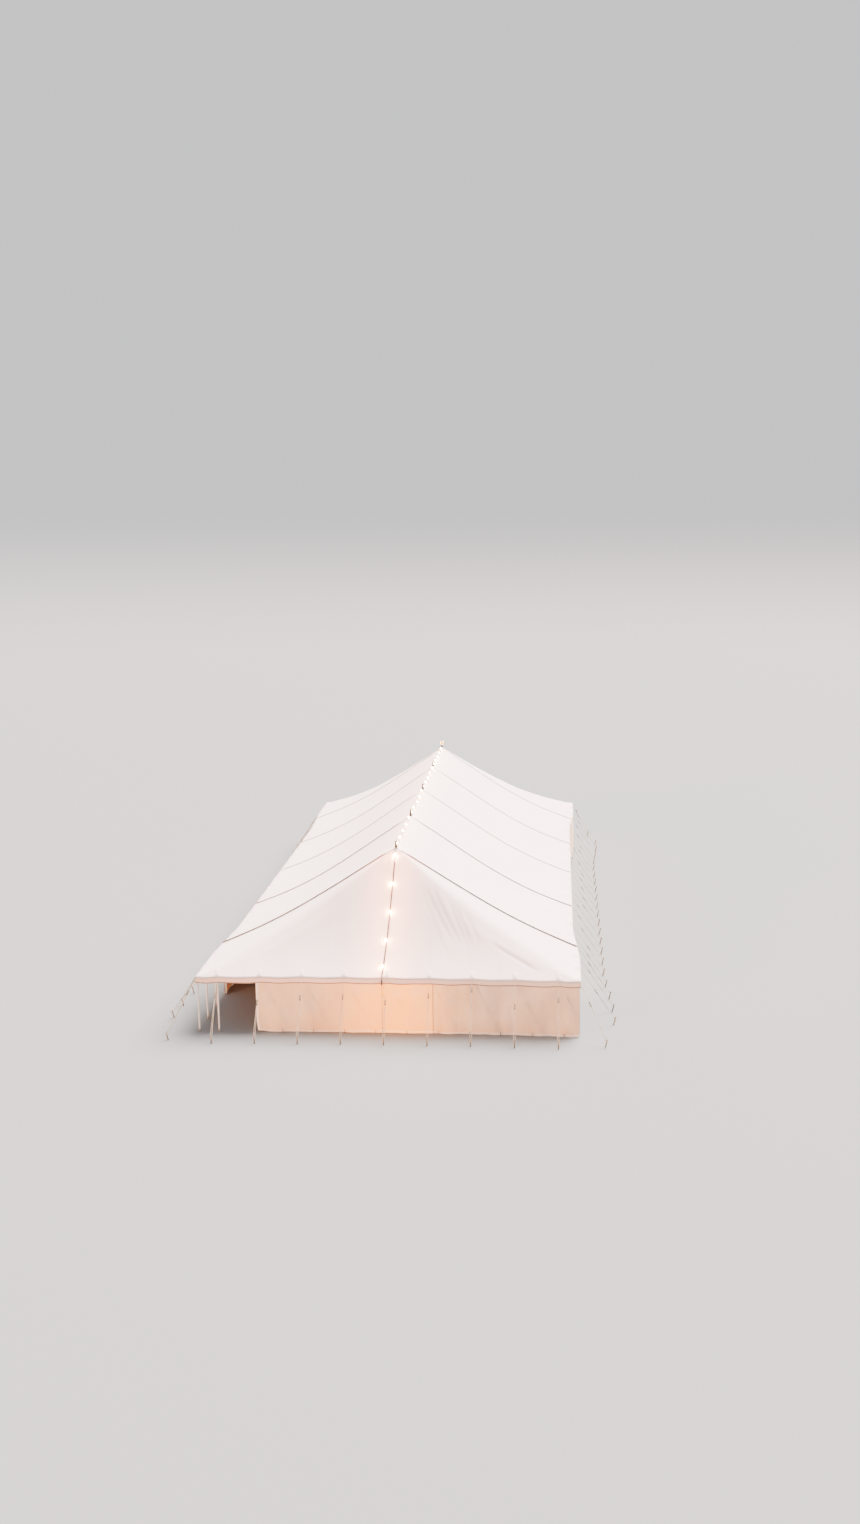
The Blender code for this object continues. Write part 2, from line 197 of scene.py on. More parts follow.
def new_piece(name, bm, finish, slot=None, node=None, thickness=0.0, offset=-1.0):
    """Makes a mesh object at the origin from a bmesh, with smooth faces. A piece with a slot
    rides on the tent, and may show a CAD node and get a thickness."""
    for face in bm.faces:
        face.smooth = True
    mesh = bpy.data.meshes.new(name)
    bm.to_mesh(mesh)
    bm.free()
    mesh.materials.append(finish.material)
    piece = bpy.data.objects.new(name, mesh)
    bpy.context.scene.collection.objects.link(piece)
    if slot:
        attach(piece, "root")
    if node:
        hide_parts(node)
    if thickness:
        solid = piece.modifiers.new("thickness", "SOLIDIFY")
        solid.thickness = thickness
        solid.offset = offset
    return piece


def lathe(profile, steps):
    """A round shape turned from a profile of (radius, height) points."""
    bm = bmesh.new()
    verts = [bm.verts.new((radius, 0, height)) for radius, height in profile]
    for a, b in zip(verts, verts[1:]):
        bm.edges.new((a, b))
    outline = bm.verts[:] + bm.edges[:]
    axis = (0, 0, 1)
    bmesh.ops.spin(bm, geom=outline, axis=axis, angle=math.tau, steps=steps, use_merge=True)
    bmesh.ops.remove_doubles(bm, verts=bm.verts[:], dist=0.00001)
    bmesh.ops.recalc_face_normals(bm, faces=bm.faces[:])
    return bm


def add_light(name, kind, energy, colour):
    data = bpy.data.lights.new(name, kind)
    data.energy = energy
    data.color = colour
    light = bpy.data.objects.new(name, data)
    bpy.context.scene.collection.objects.link(light)
    return light


def add_sun(name, energy, colour, spread, direction):
    """A distant light, spread over an angle in degrees."""
    sun = add_light(name, "SUN", energy, colour)
    sun.data.angle = math.radians(spread)
    sun.rotation_mode = "QUATERNION"
    sun.rotation_quaternion = Vector(direction).to_track_quat("-Z", "Y")


studio_grey = Finish("studio_grey", 0.9)
backdrop_share = studio_grey.parts(studio_grey.place())[2].ramp(0.0, BACKDROP_FADE)
studio_grey.set(Base_Color=(0.20, 0.222, 0.23), Alpha=1 - backdrop_share)

flat_radius = FLOOR_RADIUS - BACKDROP_RISE
profile = [(0.0, 0.0), (flat_radius, 0.0)]
for step in range(1, 13):
    angle = math.radians(step * 6)
    rise = BACKDROP_HEIGHT * (1 - math.cos(angle))
    profile.append((flat_radius + BACKDROP_RISE * math.sin(angle), rise))
bm = lathe(profile, 96)
bmesh.ops.reverse_faces(bm, faces=bm.faces[:])
new_piece("studio_floor", bm, studio_grey)

sky = bpy.data.worlds.new("sky")
sky.use_nodes = True
background = sky.node_tree.nodes["Background"]
background.inputs["Color"].default_value = (0.97, 0.97, 1.0, 1)
background.inputs["Strength"].default_value = 1.0
bpy.context.scene.world = sky

add_sun("key", 28.0, (1.0, 0.83, 0.77), 50, (-0.45, -0.55, -1.0))
add_sun("fill", 4.4, (1.0, 0.45, 0.23), 6, (0.8, 0.9, -0.2))

# Warm lights hang inside the tent, under the ridge.
for spot in (-11.6, -7.5, -2.5, 2.5, 7.5):
    warm = add_light("warm", "POINT", 18.0, (1.0, 0.34, 0.08))
    warm.data.shadow_soft_size = 0.15
    warm.location = (0.0, spot, WARM_LIGHT_HEIGHT)


# The roof is white cotton canvas: four bays between five king poles and a hip end at each end,
# each sewn from upright widths. It is pushed up at the king poles, pulled down and out at the
# side poles, and sags between them.
HALF_WIDTH = 6.1
HALF_RIDGE = 10.0
HALF_LENGTH = 13.65
BAY_LENGTH = 5.0
KING_Y = [-10.0, -5.0, 0.0, 5.0, 10.0]
EAVE_HEIGHT = 1.83
APEX_HEIGHT = 5.2
SIDE_BOW = 0.2
BOW_FADES_FROM = 7.5
BOW_FADES_OVER = 4.2
END_BOW = 0.15
SLOPE_SAG = 0.3
SAG_SKEW = 1.27
BAY_SAG = 0.05
FRONT_TIGHTNESS = 0.09
TIGHTENS_FROM = -4.5
TIGHTENS_OVER = 5.5
RIDGE_SAG = 0.05
HIP_DEPTH = HALF_LENGTH - HALF_RIDGE
SIDE_PITCH = 1.25
HIP_PITCH = HIP_DEPTH / 3
END_PITCH = 1.35
LAST_END_POLE = 4 * END_PITCH
CLOTH_WIDTH = 0.9
SLOPES_CLOTH = 14.0
HIP_CLOTH = (12.5, 7.0)
CANVAS = 0.004
THREAD_RATE = 2100.0

UP = Vector((0, 0, 1))
HAND = {"left": -1, "right": 1, "front": -1, "back": 1}


def side_eave(y):
    """Half the width at the eaves."""
    straight = smooth_step((abs(y) - BOW_FADES_FROM) / BOW_FADES_OVER)
    return HALF_WIDTH - SIDE_BOW * (1 - straight)


def end_eave(x):
    """Half the length at the eaves."""
    return HALF_LENGTH - END_BOW * (1 - (x / HALF_WIDTH) ** 2)


def between_side_poles(y):
    """0 at a side pole and 1 midway to the next."""
    y = abs(y)
    turns = y / SIDE_PITCH if y < HALF_RIDGE else (y - HALF_RIDGE) / HIP_PITCH
    return 0.5 - 0.5 * math.cos(math.tau * turns)


def between_end_poles(x):
    x = abs(x)
    past = x - LAST_END_POLE
    turns = x / END_PITCH if past < 0 else past / (HALF_WIDTH - LAST_END_POLE)
    return 0.5 - 0.5 * math.cos(math.tau * turns)


def hip_share(x, y):
    """How far a point of the plan lies from its king pole (0) to the eave (1) on a hip end, for
    the end face and for the side face."""
    x, y = abs(x), abs(y) - HALF_RIDGE
    end = side = 0.5
    for _ in range(4):
        end = max(y / (end_eave(min(x / max(end, 0.01), HALF_WIDTH)) - HALF_RIDGE), 0.0)
        side = x / side_eave(HALF_RIDGE + min(y / max(side, 0.01), HIP_DEPTH))
    return end, side


def soft_greater(a, b):
    """The greater of two shares, rounded off where they are nearly the same, as the canvas is
    at the hips. It stays exact at the crown and at the eaves."""
    most = max(a, b)
    blend = 0.64 * most * max(1 - most, 0.0) + 1e-9
    return most + 0.25 * blend * max(1 - abs(a - b) / blend, 0.0) ** 2


def slope_height(crown, t, sag):
    fall = (crown - EAVE_HEIGHT) * (1 - t)
    return EAVE_HEIGHT + fall - sag * math.sin(math.pi * min(t, 1.0) ** SAG_SKEW)


# Folds in the front end, pulled tight between the crown and the eave: where each starts and ends
# in plan, and its depth.
TIGHT_FOLDS = (
    ((1.03, -10.93), (2.02, -12.30), 0.024),
    ((1.34, -11.05), (2.26, -12.34), 0.026),
    ((1.86, -11.30), (2.46, -12.40), 0.022),
    ((2.08, -11.42), (2.66, -12.45), 0.019),
    ((2.45, -11.62), (2.88, -12.40), 0.015),
    ((0.80, -10.78), (1.90, -12.75), 0.009),
    ((3.30, -12.40), (4.75, -13.25), 0.030),
)
FOLDS_REACH = 5.0
FOLD_WIDTH = 0.07
# A fold this deep gets all of its painted shade.
FULL_SHADE_FOLD = 0.026


def tight_folds(x, y):
    lift = 0.0
    if y >= -HALF_RIDGE or not 0.0 < x < FOLDS_REACH:
        return lift
    for (x0, y0), (x1, y1), depth in TIGHT_FOLDS:
        length = math.hypot(x1 - x0, y1 - y0)
        share = ((x - x0) * (x1 - x0) + (y - y0) * (y1 - y0)) / length ** 2
        beside = ((x - x0) * (y1 - y0) - (y - y0) * (x1 - x0)) / length
        ends = smooth_step((share + 0.15) / 0.4) * smooth_step((1.15 - share) / 0.4)
        lift -= depth * ends * math.exp(-((beside / FOLD_WIDTH) ** 2))
    return lift


def folds(x, y, end_face):
    """The lift of the canvas by its folds, in metres."""
    side_gap = max(side_eave(y) - abs(x), 0.0)
    end_gap = max(end_eave(min(abs(x), HALF_WIDTH)) - abs(y), 0.0)
    lift = tight_folds(x, y)
    for gap, dip in ((side_gap, between_side_poles(y)), (end_gap, between_end_poles(x))):
        lift -= dip * (0.016 * math.exp(-gap / 0.5) + 0.007 * math.exp(-gap / 2.2))
    for king in KING_Y:
        out = math.hypot(x, y - king)
        if out < 5.0:
            round_pole = math.atan2(y - king, abs(x))
            lift += 0.010 * math.sin(9 * round_pole) * math.exp(-out / 1.4) * min(out / 0.4, 1.0)
    along_slope = noise.noise(Vector((x * 0.45, y * 1.5, 2.0)))
    along_end = noise.noise(Vector((x * 1.5, y * 0.45, 7.0)))
    return lift + 0.011 * (along_slope * (1 - end_face) + along_end * end_face)


def tightness(y):
    """How much less the side slopes sag near the front king pole, which is set up tightest."""
    return FRONT_TIGHTNESS * smooth_step((TIGHTENS_FROM - y) / TIGHTENS_OVER)


def canvas_height(x, y):
    """The height of the roof's upper face at a point of the plan."""
    if abs(y) > HALF_RIDGE:
        end, side = hip_share(x, y)
        end_face = smooth_step((end - side) * 6 + 0.5)
        sag = SLOPE_SAG - tightness(y) * (1 - end_face)
        height = slope_height(APEX_HEIGHT, soft_greater(end, side), sag)
    else:
        pocket = math.sin(math.pi * ((y + HALF_RIDGE) / BAY_LENGTH % 1.0))
        sag = SLOPE_SAG + BAY_SAG * pocket - tightness(y)
        height = slope_height(APEX_HEIGHT - RIDGE_SAG * pocket, abs(x) / side_eave(y), sag)
        end_face = 0.0
    return height + folds(x, y, end_face)


def mark_folds(bm):
    """Keeps in an attribute how deep each vertex lies in a tight fold."""
    depth = bm.verts.layers.float.new("fold")
    for vert in bm.verts:
        vert[depth] = -tight_folds(vert.co.x, vert.co.y) / FULL_SHADE_FOLD


def face_towards(bm, outward):
    """Turns the faces of an open sheet so that they look outward."""
    bmesh.ops.recalc_face_normals(bm, faces=bm.faces[:])
    if sum(face.normal.dot(outward) for face in bm.faces) < 0:
        bmesh.ops.reverse_faces(bm, faces=bm.faces[:])


def sewn_sheet(columns, rows, place, cut, outward):
    """A sheet of cloth: a grid whose points place(u, v) sets, with u and v from 0 to 1, a UV
    map of the flat cut in metres, and faces that look outward."""
    bm = bmesh.new()
    bmesh.ops.create_grid(bm, x_segments=columns, y_segments=rows, size=0.5)
    flat = bm.loops.layers.uv.new("cut")
    for vert in bm.verts:
        share = (vert.co.x + 0.5, vert.co.y + 0.5)
        for loop in vert.link_loops:
            loop[flat].uv = cut(*share)
        vert.co = place(*share)
    face_towards(bm, outward)
    return bm


def flat_cut(across, along, start=0.0):
    """The cut of a plain strip of cloth, as a function of u and v."""
    return lambda u, v: (start + across * u, along * v)


def canvas_finish(name, colour, shade, seam_pitch, creasing=0.0):
    """Woven cotton with felled seams and a little weather."""
    cloth = Finish(name, 0.85)
    across, along = cloth.cut()
    place = cloth.place()
    seam = abs((across / seam_pitch).fraction() - 0.5) * seam_pitch
    felled = 1 - (seam_pitch / 2 - seam).ramp(0.008, 0.011)
    cloth.dye(cloth.noise(place, 0.8, 3.0).ramp(0.35, 0.7), colour, shade)
    cloth.stain(felled * 0.6, [c * 0.80 for c in colour])
    cloth.stain(cloth.noise(place, 6.6, 5.0).ramp(0.58, 0.85) * 0.10, (0.45, 0.42, 0.38))
    relief = cloth.bump(cloth.noise(place, 9.0, 3.0), 0.25, 0.006)
    if creasing:
        creases = cloth.noise(cloth.stretched(place, (1.0, 1.0, 0.6)), 2.6, 2.0)
        relief = cloth.bump(1 - abs(creases - 0.5).ramp(0, 0.07), creasing, 0.012, relief)
    relief = cloth.bump(felled, 0.6, 0.0015, relief)
    threads = (across * THREAD_RATE).sine() * (along * THREAD_RATE).sine()
    relief = cloth.bump(threads, 0.15, 0.0006, relief)
    cloth.set(Normal=relief, Sheen_Weight=0.15)
    return cloth


def paint_glow(cloth, share, colour, strength):
    """Paints a warm glow into the cloth by emission, by a share from 0 to 1: painted light that
    stands in for the warm light inside the tent shining through.
    """
    glow = cloth.mix(share, (0.0, 0.0, 0.0), colour)
    cloth.set(Emission_Color=glow, Emission_Strength=strength)


# A dark line of painted shade lies under the lamp cable down the front slope, slanting a little
# to the left.
CABLE_SLANT = 0.0429

roof_white = canvas_finish("roof_white", (0.95, 0.82, 0.79), (0.91, 0.78, 0.755), CLOTH_WIDTH)
roof_x, roof_y, _ = roof_white.parts(roof_white.place())
# Painted light: a warm glow on the middle of the front end and along the ridge, kept off the dark line
# under the cable.
front_glow_share = (1 - abs(roof_x + 0.1).ramp(0.0, 1.6)) * (1 - roof_y.ramp(-10.4, -9.6))
ridge_glow_share = (1 - abs(roof_x).ramp(0.0, 0.9)) * 0.35
beside_cable = abs(roof_x + (-HALF_RIDGE - roof_y) * CABLE_SLANT)
# Painted shade: the canvas is darkened in a narrow line right under the cable.
cable_shade = (1 - beside_cable.ramp(0.018, 0.038)) * (1 - roof_y.ramp(-10.4, -10.3)) * 0.9
roof_painted_glow = (front_glow_share + ridge_glow_share * 0.7) * (1 - cable_shade)
paint_glow(roof_white, roof_painted_glow, (1.0, 0.24, 0.05), 2.7)
roof_white.stain(cable_shade, (0.06, 0.06, 0.062))
# Painted shade: the canvas is darker down in the tight folds of the front end, the deeper the darker.
fold_shade = roof_white.node("ShaderNodeAttribute", {"attribute_name": "fold"}).outputs["Fac"]
roof_white.stain(Signal(roof_white, fold_shade) * 0.4, (0.48, 0.42, 0.42))

for number, king in enumerate(KING_Y[:-1], 1):

    def bay_place(u, v):
        y = king + BAY_LENGTH * min(max(v, 1e-6), 1 - 1e-6)
        x = (2 * u - 1) * side_eave(y)
        return Vector((x, y, canvas_height(x, y)))

    def bay_cut(u, v):
        return king + BAY_LENGTH * v, SLOPES_CLOTH * u

    bm = sewn_sheet(220, 80, bay_place, bay_cut, UP)
    node = f"roof_bay_{number}"
    bay = new_piece(f"roof_canvas_{number}", bm, roof_white, "roof_canvas", node, CANVAS)
    poles = [f"king_pole_{number}", f"king_pole_{number + 1}", "poles_left", "poles_right"]

HIP_SIDE_COLUMNS = 52
HIP_END_COLUMNS = 244
HIP_COLUMNS = 2 * HIP_SIDE_COLUMNS + HIP_END_COLUMNS


def hip_rim(u):
    """A point of the eave round a hip end, right side, end and left side, and where it lies
    along the flat cloth."""
    column = u * HIP_COLUMNS
    if column < HIP_SIDE_COLUMNS:
        y = HALF_RIDGE + HIP_DEPTH * column / HIP_SIDE_COLUMNS
        return side_eave(y), y, y
    column -= HIP_SIDE_COLUMNS
    if column < HIP_END_COLUMNS:
        x = HALF_WIDTH * (1 - 2 * column / HIP_END_COLUMNS)
        return x, end_eave(x), x
    column -= HIP_END_COLUMNS
    y = HALF_LENGTH - HIP_DEPTH * column / HIP_SIDE_COLUMNS
    return -side_eave(y), y, y


for side, king_number in (("front", 1), ("back", 5)):

    def hip_place(u, v):
        x, y, _ = hip_rim(u)
        t = max(v, 0.003)
        x = t * x
        y = HAND[side] * (HALF_RIDGE + max(t * (y - HALF_RIDGE), 1e-6))
        return Vector((x, y, canvas_height(x, y)))

    def hip_cut(u, v):
        return hip_rim(u)[2] * v + CLOTH_WIDTH / 2 * (1 - v), HIP_CLOTH[1] * v

    bm = sewn_sheet(HIP_COLUMNS, 90, hip_place, hip_cut, UP)
    mark_folds(bm)
    node = "roof_end_" + side
    hip = new_piece("roof_canvas_" + side, bm, roof_white, "roof_canvas", node, CANVAS)
    poles = [f"king_pole_{king_number}", "poles_left", "poles_right"]

# The bays are laced to each other and to the hip ends on the king pole lines. A lap of canvas
# covers the lacing, stitched down at one edge, with painted shadow along the edge that lies free.
LAP_WIDTH = 0.2
LAP_EDGE = 0.05
LAP_LIFTS = (0.055, 0.036, 0.024, 0.024, 0.024)
LAP_CANVAS = 0.003

lap_canvas = canvas_finish("lap_canvas", (0.94, 0.81, 0.785), (0.90, 0.77, 0.75), CLOTH_WIDTH)
lap_across, _ = lap_canvas.cut()
lap_x, lap_y, _ = lap_canvas.parts(lap_canvas.place())
entrance_end = 1 - lap_y.ramp(-9.5, -9.0)
far_end = lap_y.ramp(-5.0, 0.0) * 0.3 + (1 - lap_x.ramp(-1.0, 1.0)) * 0.08
near_end = 1 - lap_y.ramp(-4.5, -4.0)
wider = near_end * 0.022 + entrance_end * 0.015
shaded_free_edge = 1 - (lap_across - wider).ramp(LAP_EDGE, LAP_EDGE + 0.012)
# Painted shadow: the free edge of each lap is darkened, most near the entrance end and its crown, least
# towards the far end.
worn = 0.62 - far_end + near_end * 0.15 + entrance_end * (0.15 - abs(lap_x).ramp(0.5, 5.5) * 0.2)
lap_canvas.stain(shaded_free_edge * worn, (0.042, 0.045, 0.052))

for number, king in enumerate(KING_Y, 1):

    def lap_place(u, v):
        y = king + (u - 0.5) * LAP_WIDTH
        x = (2 * v - 1) * side_eave(y)
        free = (1 - u) ** 3 * smooth_step((abs(x) - 0.18) / 0.3)
        wave = noise.noise(Vector((x * 5.0, king, 1.0)))
        lift = CANVAS + free * (LAP_LIFTS[number - 1] + 0.005 * wave)
        return Vector((x, y + free * 0.006 * wave, canvas_height(x, y) + lift))

    bm = sewn_sheet(8, 300, lap_place, flat_cut(LAP_WIDTH, SLOPES_CLOTH), UP)
    lap = new_piece(f"seam_lap_{number}", bm, lap_canvas, "roof_canvas", None, LAP_CANVAS, 1.0)
    under = [f"roof_canvas_{min(number, 4)}"]


# Round each crown the canvas is doubled by a sewn disc, with a brass eyelet that the spike of
# the king pole passes through. A boot of oiled leather keeps the rain out of the eyelet.
PATCH_RADIUS = 0.18
PATCH_LIFT = 0.0105
BOOT_LEATHER = 0.003


def copies(shape, places, bm=None):
    """Adds a copy of the shape at each place, a matrix, to a bmesh."""
    mesh = bpy.data.meshes.new("shape")
    shape.to_mesh(mesh)
    shape.free()
    if bm is None:
        bm = bmesh.new()
    for place in places:
        start = len(bm.verts)
        bm.from_mesh(mesh)
        bmesh.ops.transform(bm, matrix=place, verts=bm.verts[start:])
    bpy.data.meshes.remove(mesh)
    return bm


def at_crowns(shape, lift=None):
    """A copy of the shape at every king pole, lifted off the crown or left at height 0."""
    heights = [0.0 if lift is None else canvas_height(0, king) + lift for king in KING_Y]
    return copies(shape, [Matrix.Translation((0, *spot)) for spot in zip(KING_Y, heights)])


def disc_on_canvas(radius, rings, lift):
    """A flat ring of cloth laid over every crown."""
    profile = [(0.02 + (radius - 0.02) * ring / rings, 0.0) for ring in range(rings + 1)]
    bm = at_crowns(lathe(profile, 48))
    flat = bm.loops.layers.uv.new("cut")
    for vert in bm.verts:
        for loop in vert.link_loops:
            loop[flat].uv = (vert.co.x + 1.35, vert.co.y)
        vert.co.z = canvas_height(vert.co.x, vert.co.y) + lift
    face_towards(bm, UP)
    return bm


def worn_finish(name, colours, wear_scale, low, high, roughness, spread, metallic=0.0):
    """A plain finish that wears from its first colour to its second, and gets duller there."""
    worn = Finish(name, roughness)
    wear = worn.noise(worn.place(), *wear_scale)
    worn.dye(wear.ramp(low, high), *colours)
    worn.set(Metallic=metallic, Roughness=roughness + wear * spread)
    return worn


leather_browns = ((0.014, 0.010, 0.008), (0.035, 0.022, 0.015))
leather = worn_finish("oiled_leather", leather_browns, (30.0, 4.0), 0.3, 0.7, 0.45, 0.25)
leather.set(Normal=leather.bump(leather.noise(leather.place(), 180.0, 2.0), 0.3, 0.001))

bm = disc_on_canvas(PATCH_RADIUS, 8, PATCH_LIFT)
patches = new_piece("crown_patches", bm, lap_canvas, "roof_canvas", None, LAP_CANVAS, 1.0)

boot_profile = [(0.062, -0.004), (0.064, 0.004), (0.048, 0.018), (0.040, 0.060), (0.036, 0.130)]
boot_profile += [(0.032, 0.200), (0.026, 0.212), (0.0135, 0.214)]
bm = at_crowns(lathe(boot_profile, 24), 0.012)
new_piece("crown_boots", bm, leather, "roof_canvas", None, BOOT_LEATHER)

brass_golds = ((0.62, 0.47, 0.22), (0.36, 0.28, 0.15))
brass = worn_finish("aged_brass", brass_golds, (60.0, 4.0), 0.35, 0.7, 0.3, 0.3, 1.0)


def eyelet(inner, outer, height):
    """A rolled brass ring."""
    middle = (inner + outer) / 2
    half = (outer - inner) / 2
    angles = [math.tau * i / 10 for i in range(11)]
    return lathe([(middle + half * math.cos(a), height * math.sin(a)) for a in angles], 24)


crown_rings = at_crowns(eyelet(0.016, 0.036, 0.008), 0.016)
new_piece("crown_eyelets", crown_rings, brass, "eyelet_brass")


# A band of jute webbing, woven in a herringbone, is sewn round the outside of the eaves. The
# guy ropes pull on it.
WEBBING_WIDTH = 0.045
WEBBING_THICKNESS = 0.005
OUTWARD = {
    "left": Vector((-1, 0, 0)),
    "right": Vector((1, 0, 0)),
    "front": Vector((0, -1, 0)),
    "back": Vector((0, 1, 0)),
}
EAVE_LENGTH = {side: 2 * HALF_LENGTH for side in ("left", "right")}
EAVE_LENGTH.update({side: 2 * HALF_WIDTH for side in ("front", "back")})

webbing = Finish("jute_webbing", 0.85)
webbing_across, webbing_along = webbing.cut()
herringbone = (webbing_along * 900.0 + abs(webbing_across * 80.0 - 1.8) * 3.0).sine()
webbing_mottle = webbing.noise(webbing.place(), 3.0, 4.0).ramp(0.3, 0.75)
webbing.dye(webbing_mottle, (0.66, 0.57, 0.56), (0.54, 0.46, 0.45))
webbing.set(Normal=webbing.bump(herringbone, 0.4, 0.001))


def beside_eave(side, where, out=0.0):
    """A point of the plan, out from the eave of a side; where is x on an end and y on a side."""
    if side in ("left", "right"):
        return HAND[side] * (side_eave(where) + out), where
    return where, HAND[side] * (end_eave(where) + out)


def eave_point(side, where, out):
    """A point beside the eave of a side, at the height of the canvas there."""
    x, y = beside_eave(side, where)
    return Vector((*beside_eave(side, where, out), canvas_height(x * 0.9999, y * 0.9999)))


for side, outward in OUTWARD.items():
    length = EAVE_LENGTH[side]

    def band_place(u, v):
        point = eave_point(side, length * (v - 0.5), 0.0015)
        return point - UP * (0.002 + WEBBING_WIDTH * u)

    cut = flat_cut(WEBBING_WIDTH, length)
    bm = sewn_sheet(2, round(length / 0.06), band_place, cut, outward)
    name = "eave_webbing_" + side
    new_piece(name, bm, webbing, "guy_rope", None, WEBBING_THICKNESS, 1.0)


# The valance hangs from the eaves outside the walls, a strip of the same canvas with a lower
# edge that waves a little and a dark band of painted shadow along it.
VALANCE_DEPTH = 0.2
SHADOW_BAND = 0.035
THIN_CANVAS = 0.003

valance_white = canvas_finish("valance_white", (0.88, 0.62, 0.47), (0.81, 0.55, 0.41), 1.25)
valance_across, _ = valance_white.cut()
# Painted shadow: the lower edge of the valance is darkened in a band.
hem_shadow = valance_across.ramp(VALANCE_DEPTH - SHADOW_BAND, VALANCE_DEPTH - SHADOW_BAND + 0.004) * 0.85
valance_white.stain(hem_shadow, (0.17, 0.105, 0.075))
valance_x, valance_y, _ = valance_white.parts(valance_white.place())
# Painted light: a warm glow on the front valance, strongest left of the middle, kept off the dark band.
valance_painted_glow = (1 - abs(valance_x + 2.0).ramp(0.5, 6.0)) * (1 - valance_y.ramp(-13.2, -12.8))
paint_glow(valance_white, valance_painted_glow * (1 - hem_shadow), (1.0, 0.27, 0.13), 1.1)

for side, outward in OUTWARD.items():
    length = EAVE_LENGTH[side]
    reach = 1 - 0.012 / HALF_LENGTH if side in ("left", "right") else 1.0

    def valance_place(u, v):
        where = length * (v - 0.5) * reach
        sway = noise.noise(Vector((where * 1.7, 4.0, len(side))))
        ripple = noise.noise(Vector((where * 5.0, 9.0, len(side))))
        out = u ** 1.5 * max(0.012 + 0.022 * sway + 0.008 * ripple, -0.004)
        drop = VALANCE_DEPTH * u * (1 + 0.05 * sway)
        return eave_point(side, where, -0.0045) + outward * out - UP * (drop + 0.004)

    cut = flat_cut(VALANCE_DEPTH, length)
    bm = sewn_sheet(8, round(length / 0.05), valance_place, cut, outward)
    name = "valance_cloth_" + side
    node = "valance_" + side
    valance = new_piece(name, bm, valance_white, "valance_canvas", node, THIN_CANVAS)
    "eave_webbing_" + side


# The walls are lengths of cream canvas hooked on the wall rope, with a hem at the foot. They
# hang in soft upright folds outside the poles and lap each other at a pole.
WALL_FOOT = 0.004
WALL_TOP = 1.74
WALL_LAP = 0.12
WALL_LAP_LIFT = 0.008
WALL_INSET = 0.035
OPENING_EDGE = -4.17

wall_cream = canvas_finish("wall_cream", (0.98, 0.68, 0.44), (0.93, 0.60, 0.37), 1.5, 0.4)
wall_place = wall_cream.place()
wall_x, wall_y, wall_z = wall_cream.parts(wall_place)
wall_across, wall_along = wall_cream.cut()
front_only = 1 - wall_y.ramp(-13.2, -12.8)
# Painted shadow: a dark line down the edge of the front wall's lap, which also dims the glow there.
lap_shadow_line = (1 - abs(wall_across - 1.455).ramp(0.012, 0.02)) * front_only
# Painted light: the front wall glows warm near the lamp cable and a little on the left, by emission and
# in its colour, less past the lap's edge.
lamp_glow_share = (1 - abs(wall_x - 0.3).ramp(0.2, 2.9)) * front_only
lamp_glow_share = lamp_glow_share * (1 - wall_across.ramp(1.45, 1.48) * 0.4) * (1 - lap_shadow_line * 0.6)
left_glow_share = (1 - wall_x.ramp(-2.0, 3.0)) * front_only
paint_glow(wall_cream, lamp_glow_share * 0.9 + left_glow_share * 0.15, (1.0, 0.26, 0.0), 3.3)
wall_cream.stain(lamp_glow_share * 0.75 + left_glow_share * 0.1, (1.0, 0.43, 0.02))
# Painted shade: darker upright streaks, more on the front wall, stand in for the shade of the folds.
streak_shade = wall_cream.noise(wall_cream.stretched(wall_place, (1.0, 1.0, 0.35)), 1.9, 1.0)
wall_cream.stain(streak_shade.ramp(0.38, 0.66) * (front_only * 0.2 + 0.25), (0.66, 0.40, 0.25))
blotch = wall_cream.noise(wall_place, 1.7, 3.0).ramp(0.45, 0.7)
wall_cream.stain(blotch * (front_only * 0.2 + 0.2), (0.70, 0.54, 0.45))
splash = (1 - wall_z.ramp(0.0, 0.22)) * wall_cream.noise(wall_place, 6.0, 5.0).ramp(0.35, 0.75)
wall_cream.stain(splash * 0.3, (0.45, 0.34, 0.24))
wall_cream.stain(lap_shadow_line * 0.6, (0.40, 0.24, 0.15))
foot_hem = 1 - wall_along.ramp(0.065, 0.07)
side_hem = (1 - abs(wall_across - OPENING_EDGE).ramp(0.055, 0.06)) * front_only
wall_cream.stain((foot_hem + side_hem * (1 - foot_hem)) * 0.9, (1.0, 0.93, 0.82))


def wall_point(side, where, height, lap):
    """A point of the wall of a side; where is x on an end and y on a side, and lap lifts the
    outer cloth off the one that it laps."""
    share = height / WALL_TOP
    poles = between_end_poles(where) if side in ("front", "back") else between_side_poles(where)
    seed = {"left": 1.0, "right": 2.0, "front": 3.0, "back": 4.0}[side]
    fold = noise.noise(Vector((where * 2.3, seed * 9, share * 0.7)))
    fine = noise.noise(Vector((where * 6.0, seed * 5, share * 0.9)))
    crease = noise.noise(Vector((where * 3.0 + height * 2.6, seed * 3, height * 1.5)))
    billow = 0.016 + 0.05 * max(fold, -0.3) + 0.016 * fine + 0.018 * poles + 0.026 * crease
    out = billow * (1 - share ** 2)
    out = (out + math.hypot(out, 0.01)) / 2 - 0.003 + lap + 0.002 * share
    dip = 0.012 * share ** 6 * (0.5 - 0.5 * math.cos(math.tau * where / 0.3))
    z = max(height - dip + 0.006 * (1 - share) * (1 + fine), WALL_FOOT)
    return Vector((*beside_eave(side, where, out - WALL_INSET), z))


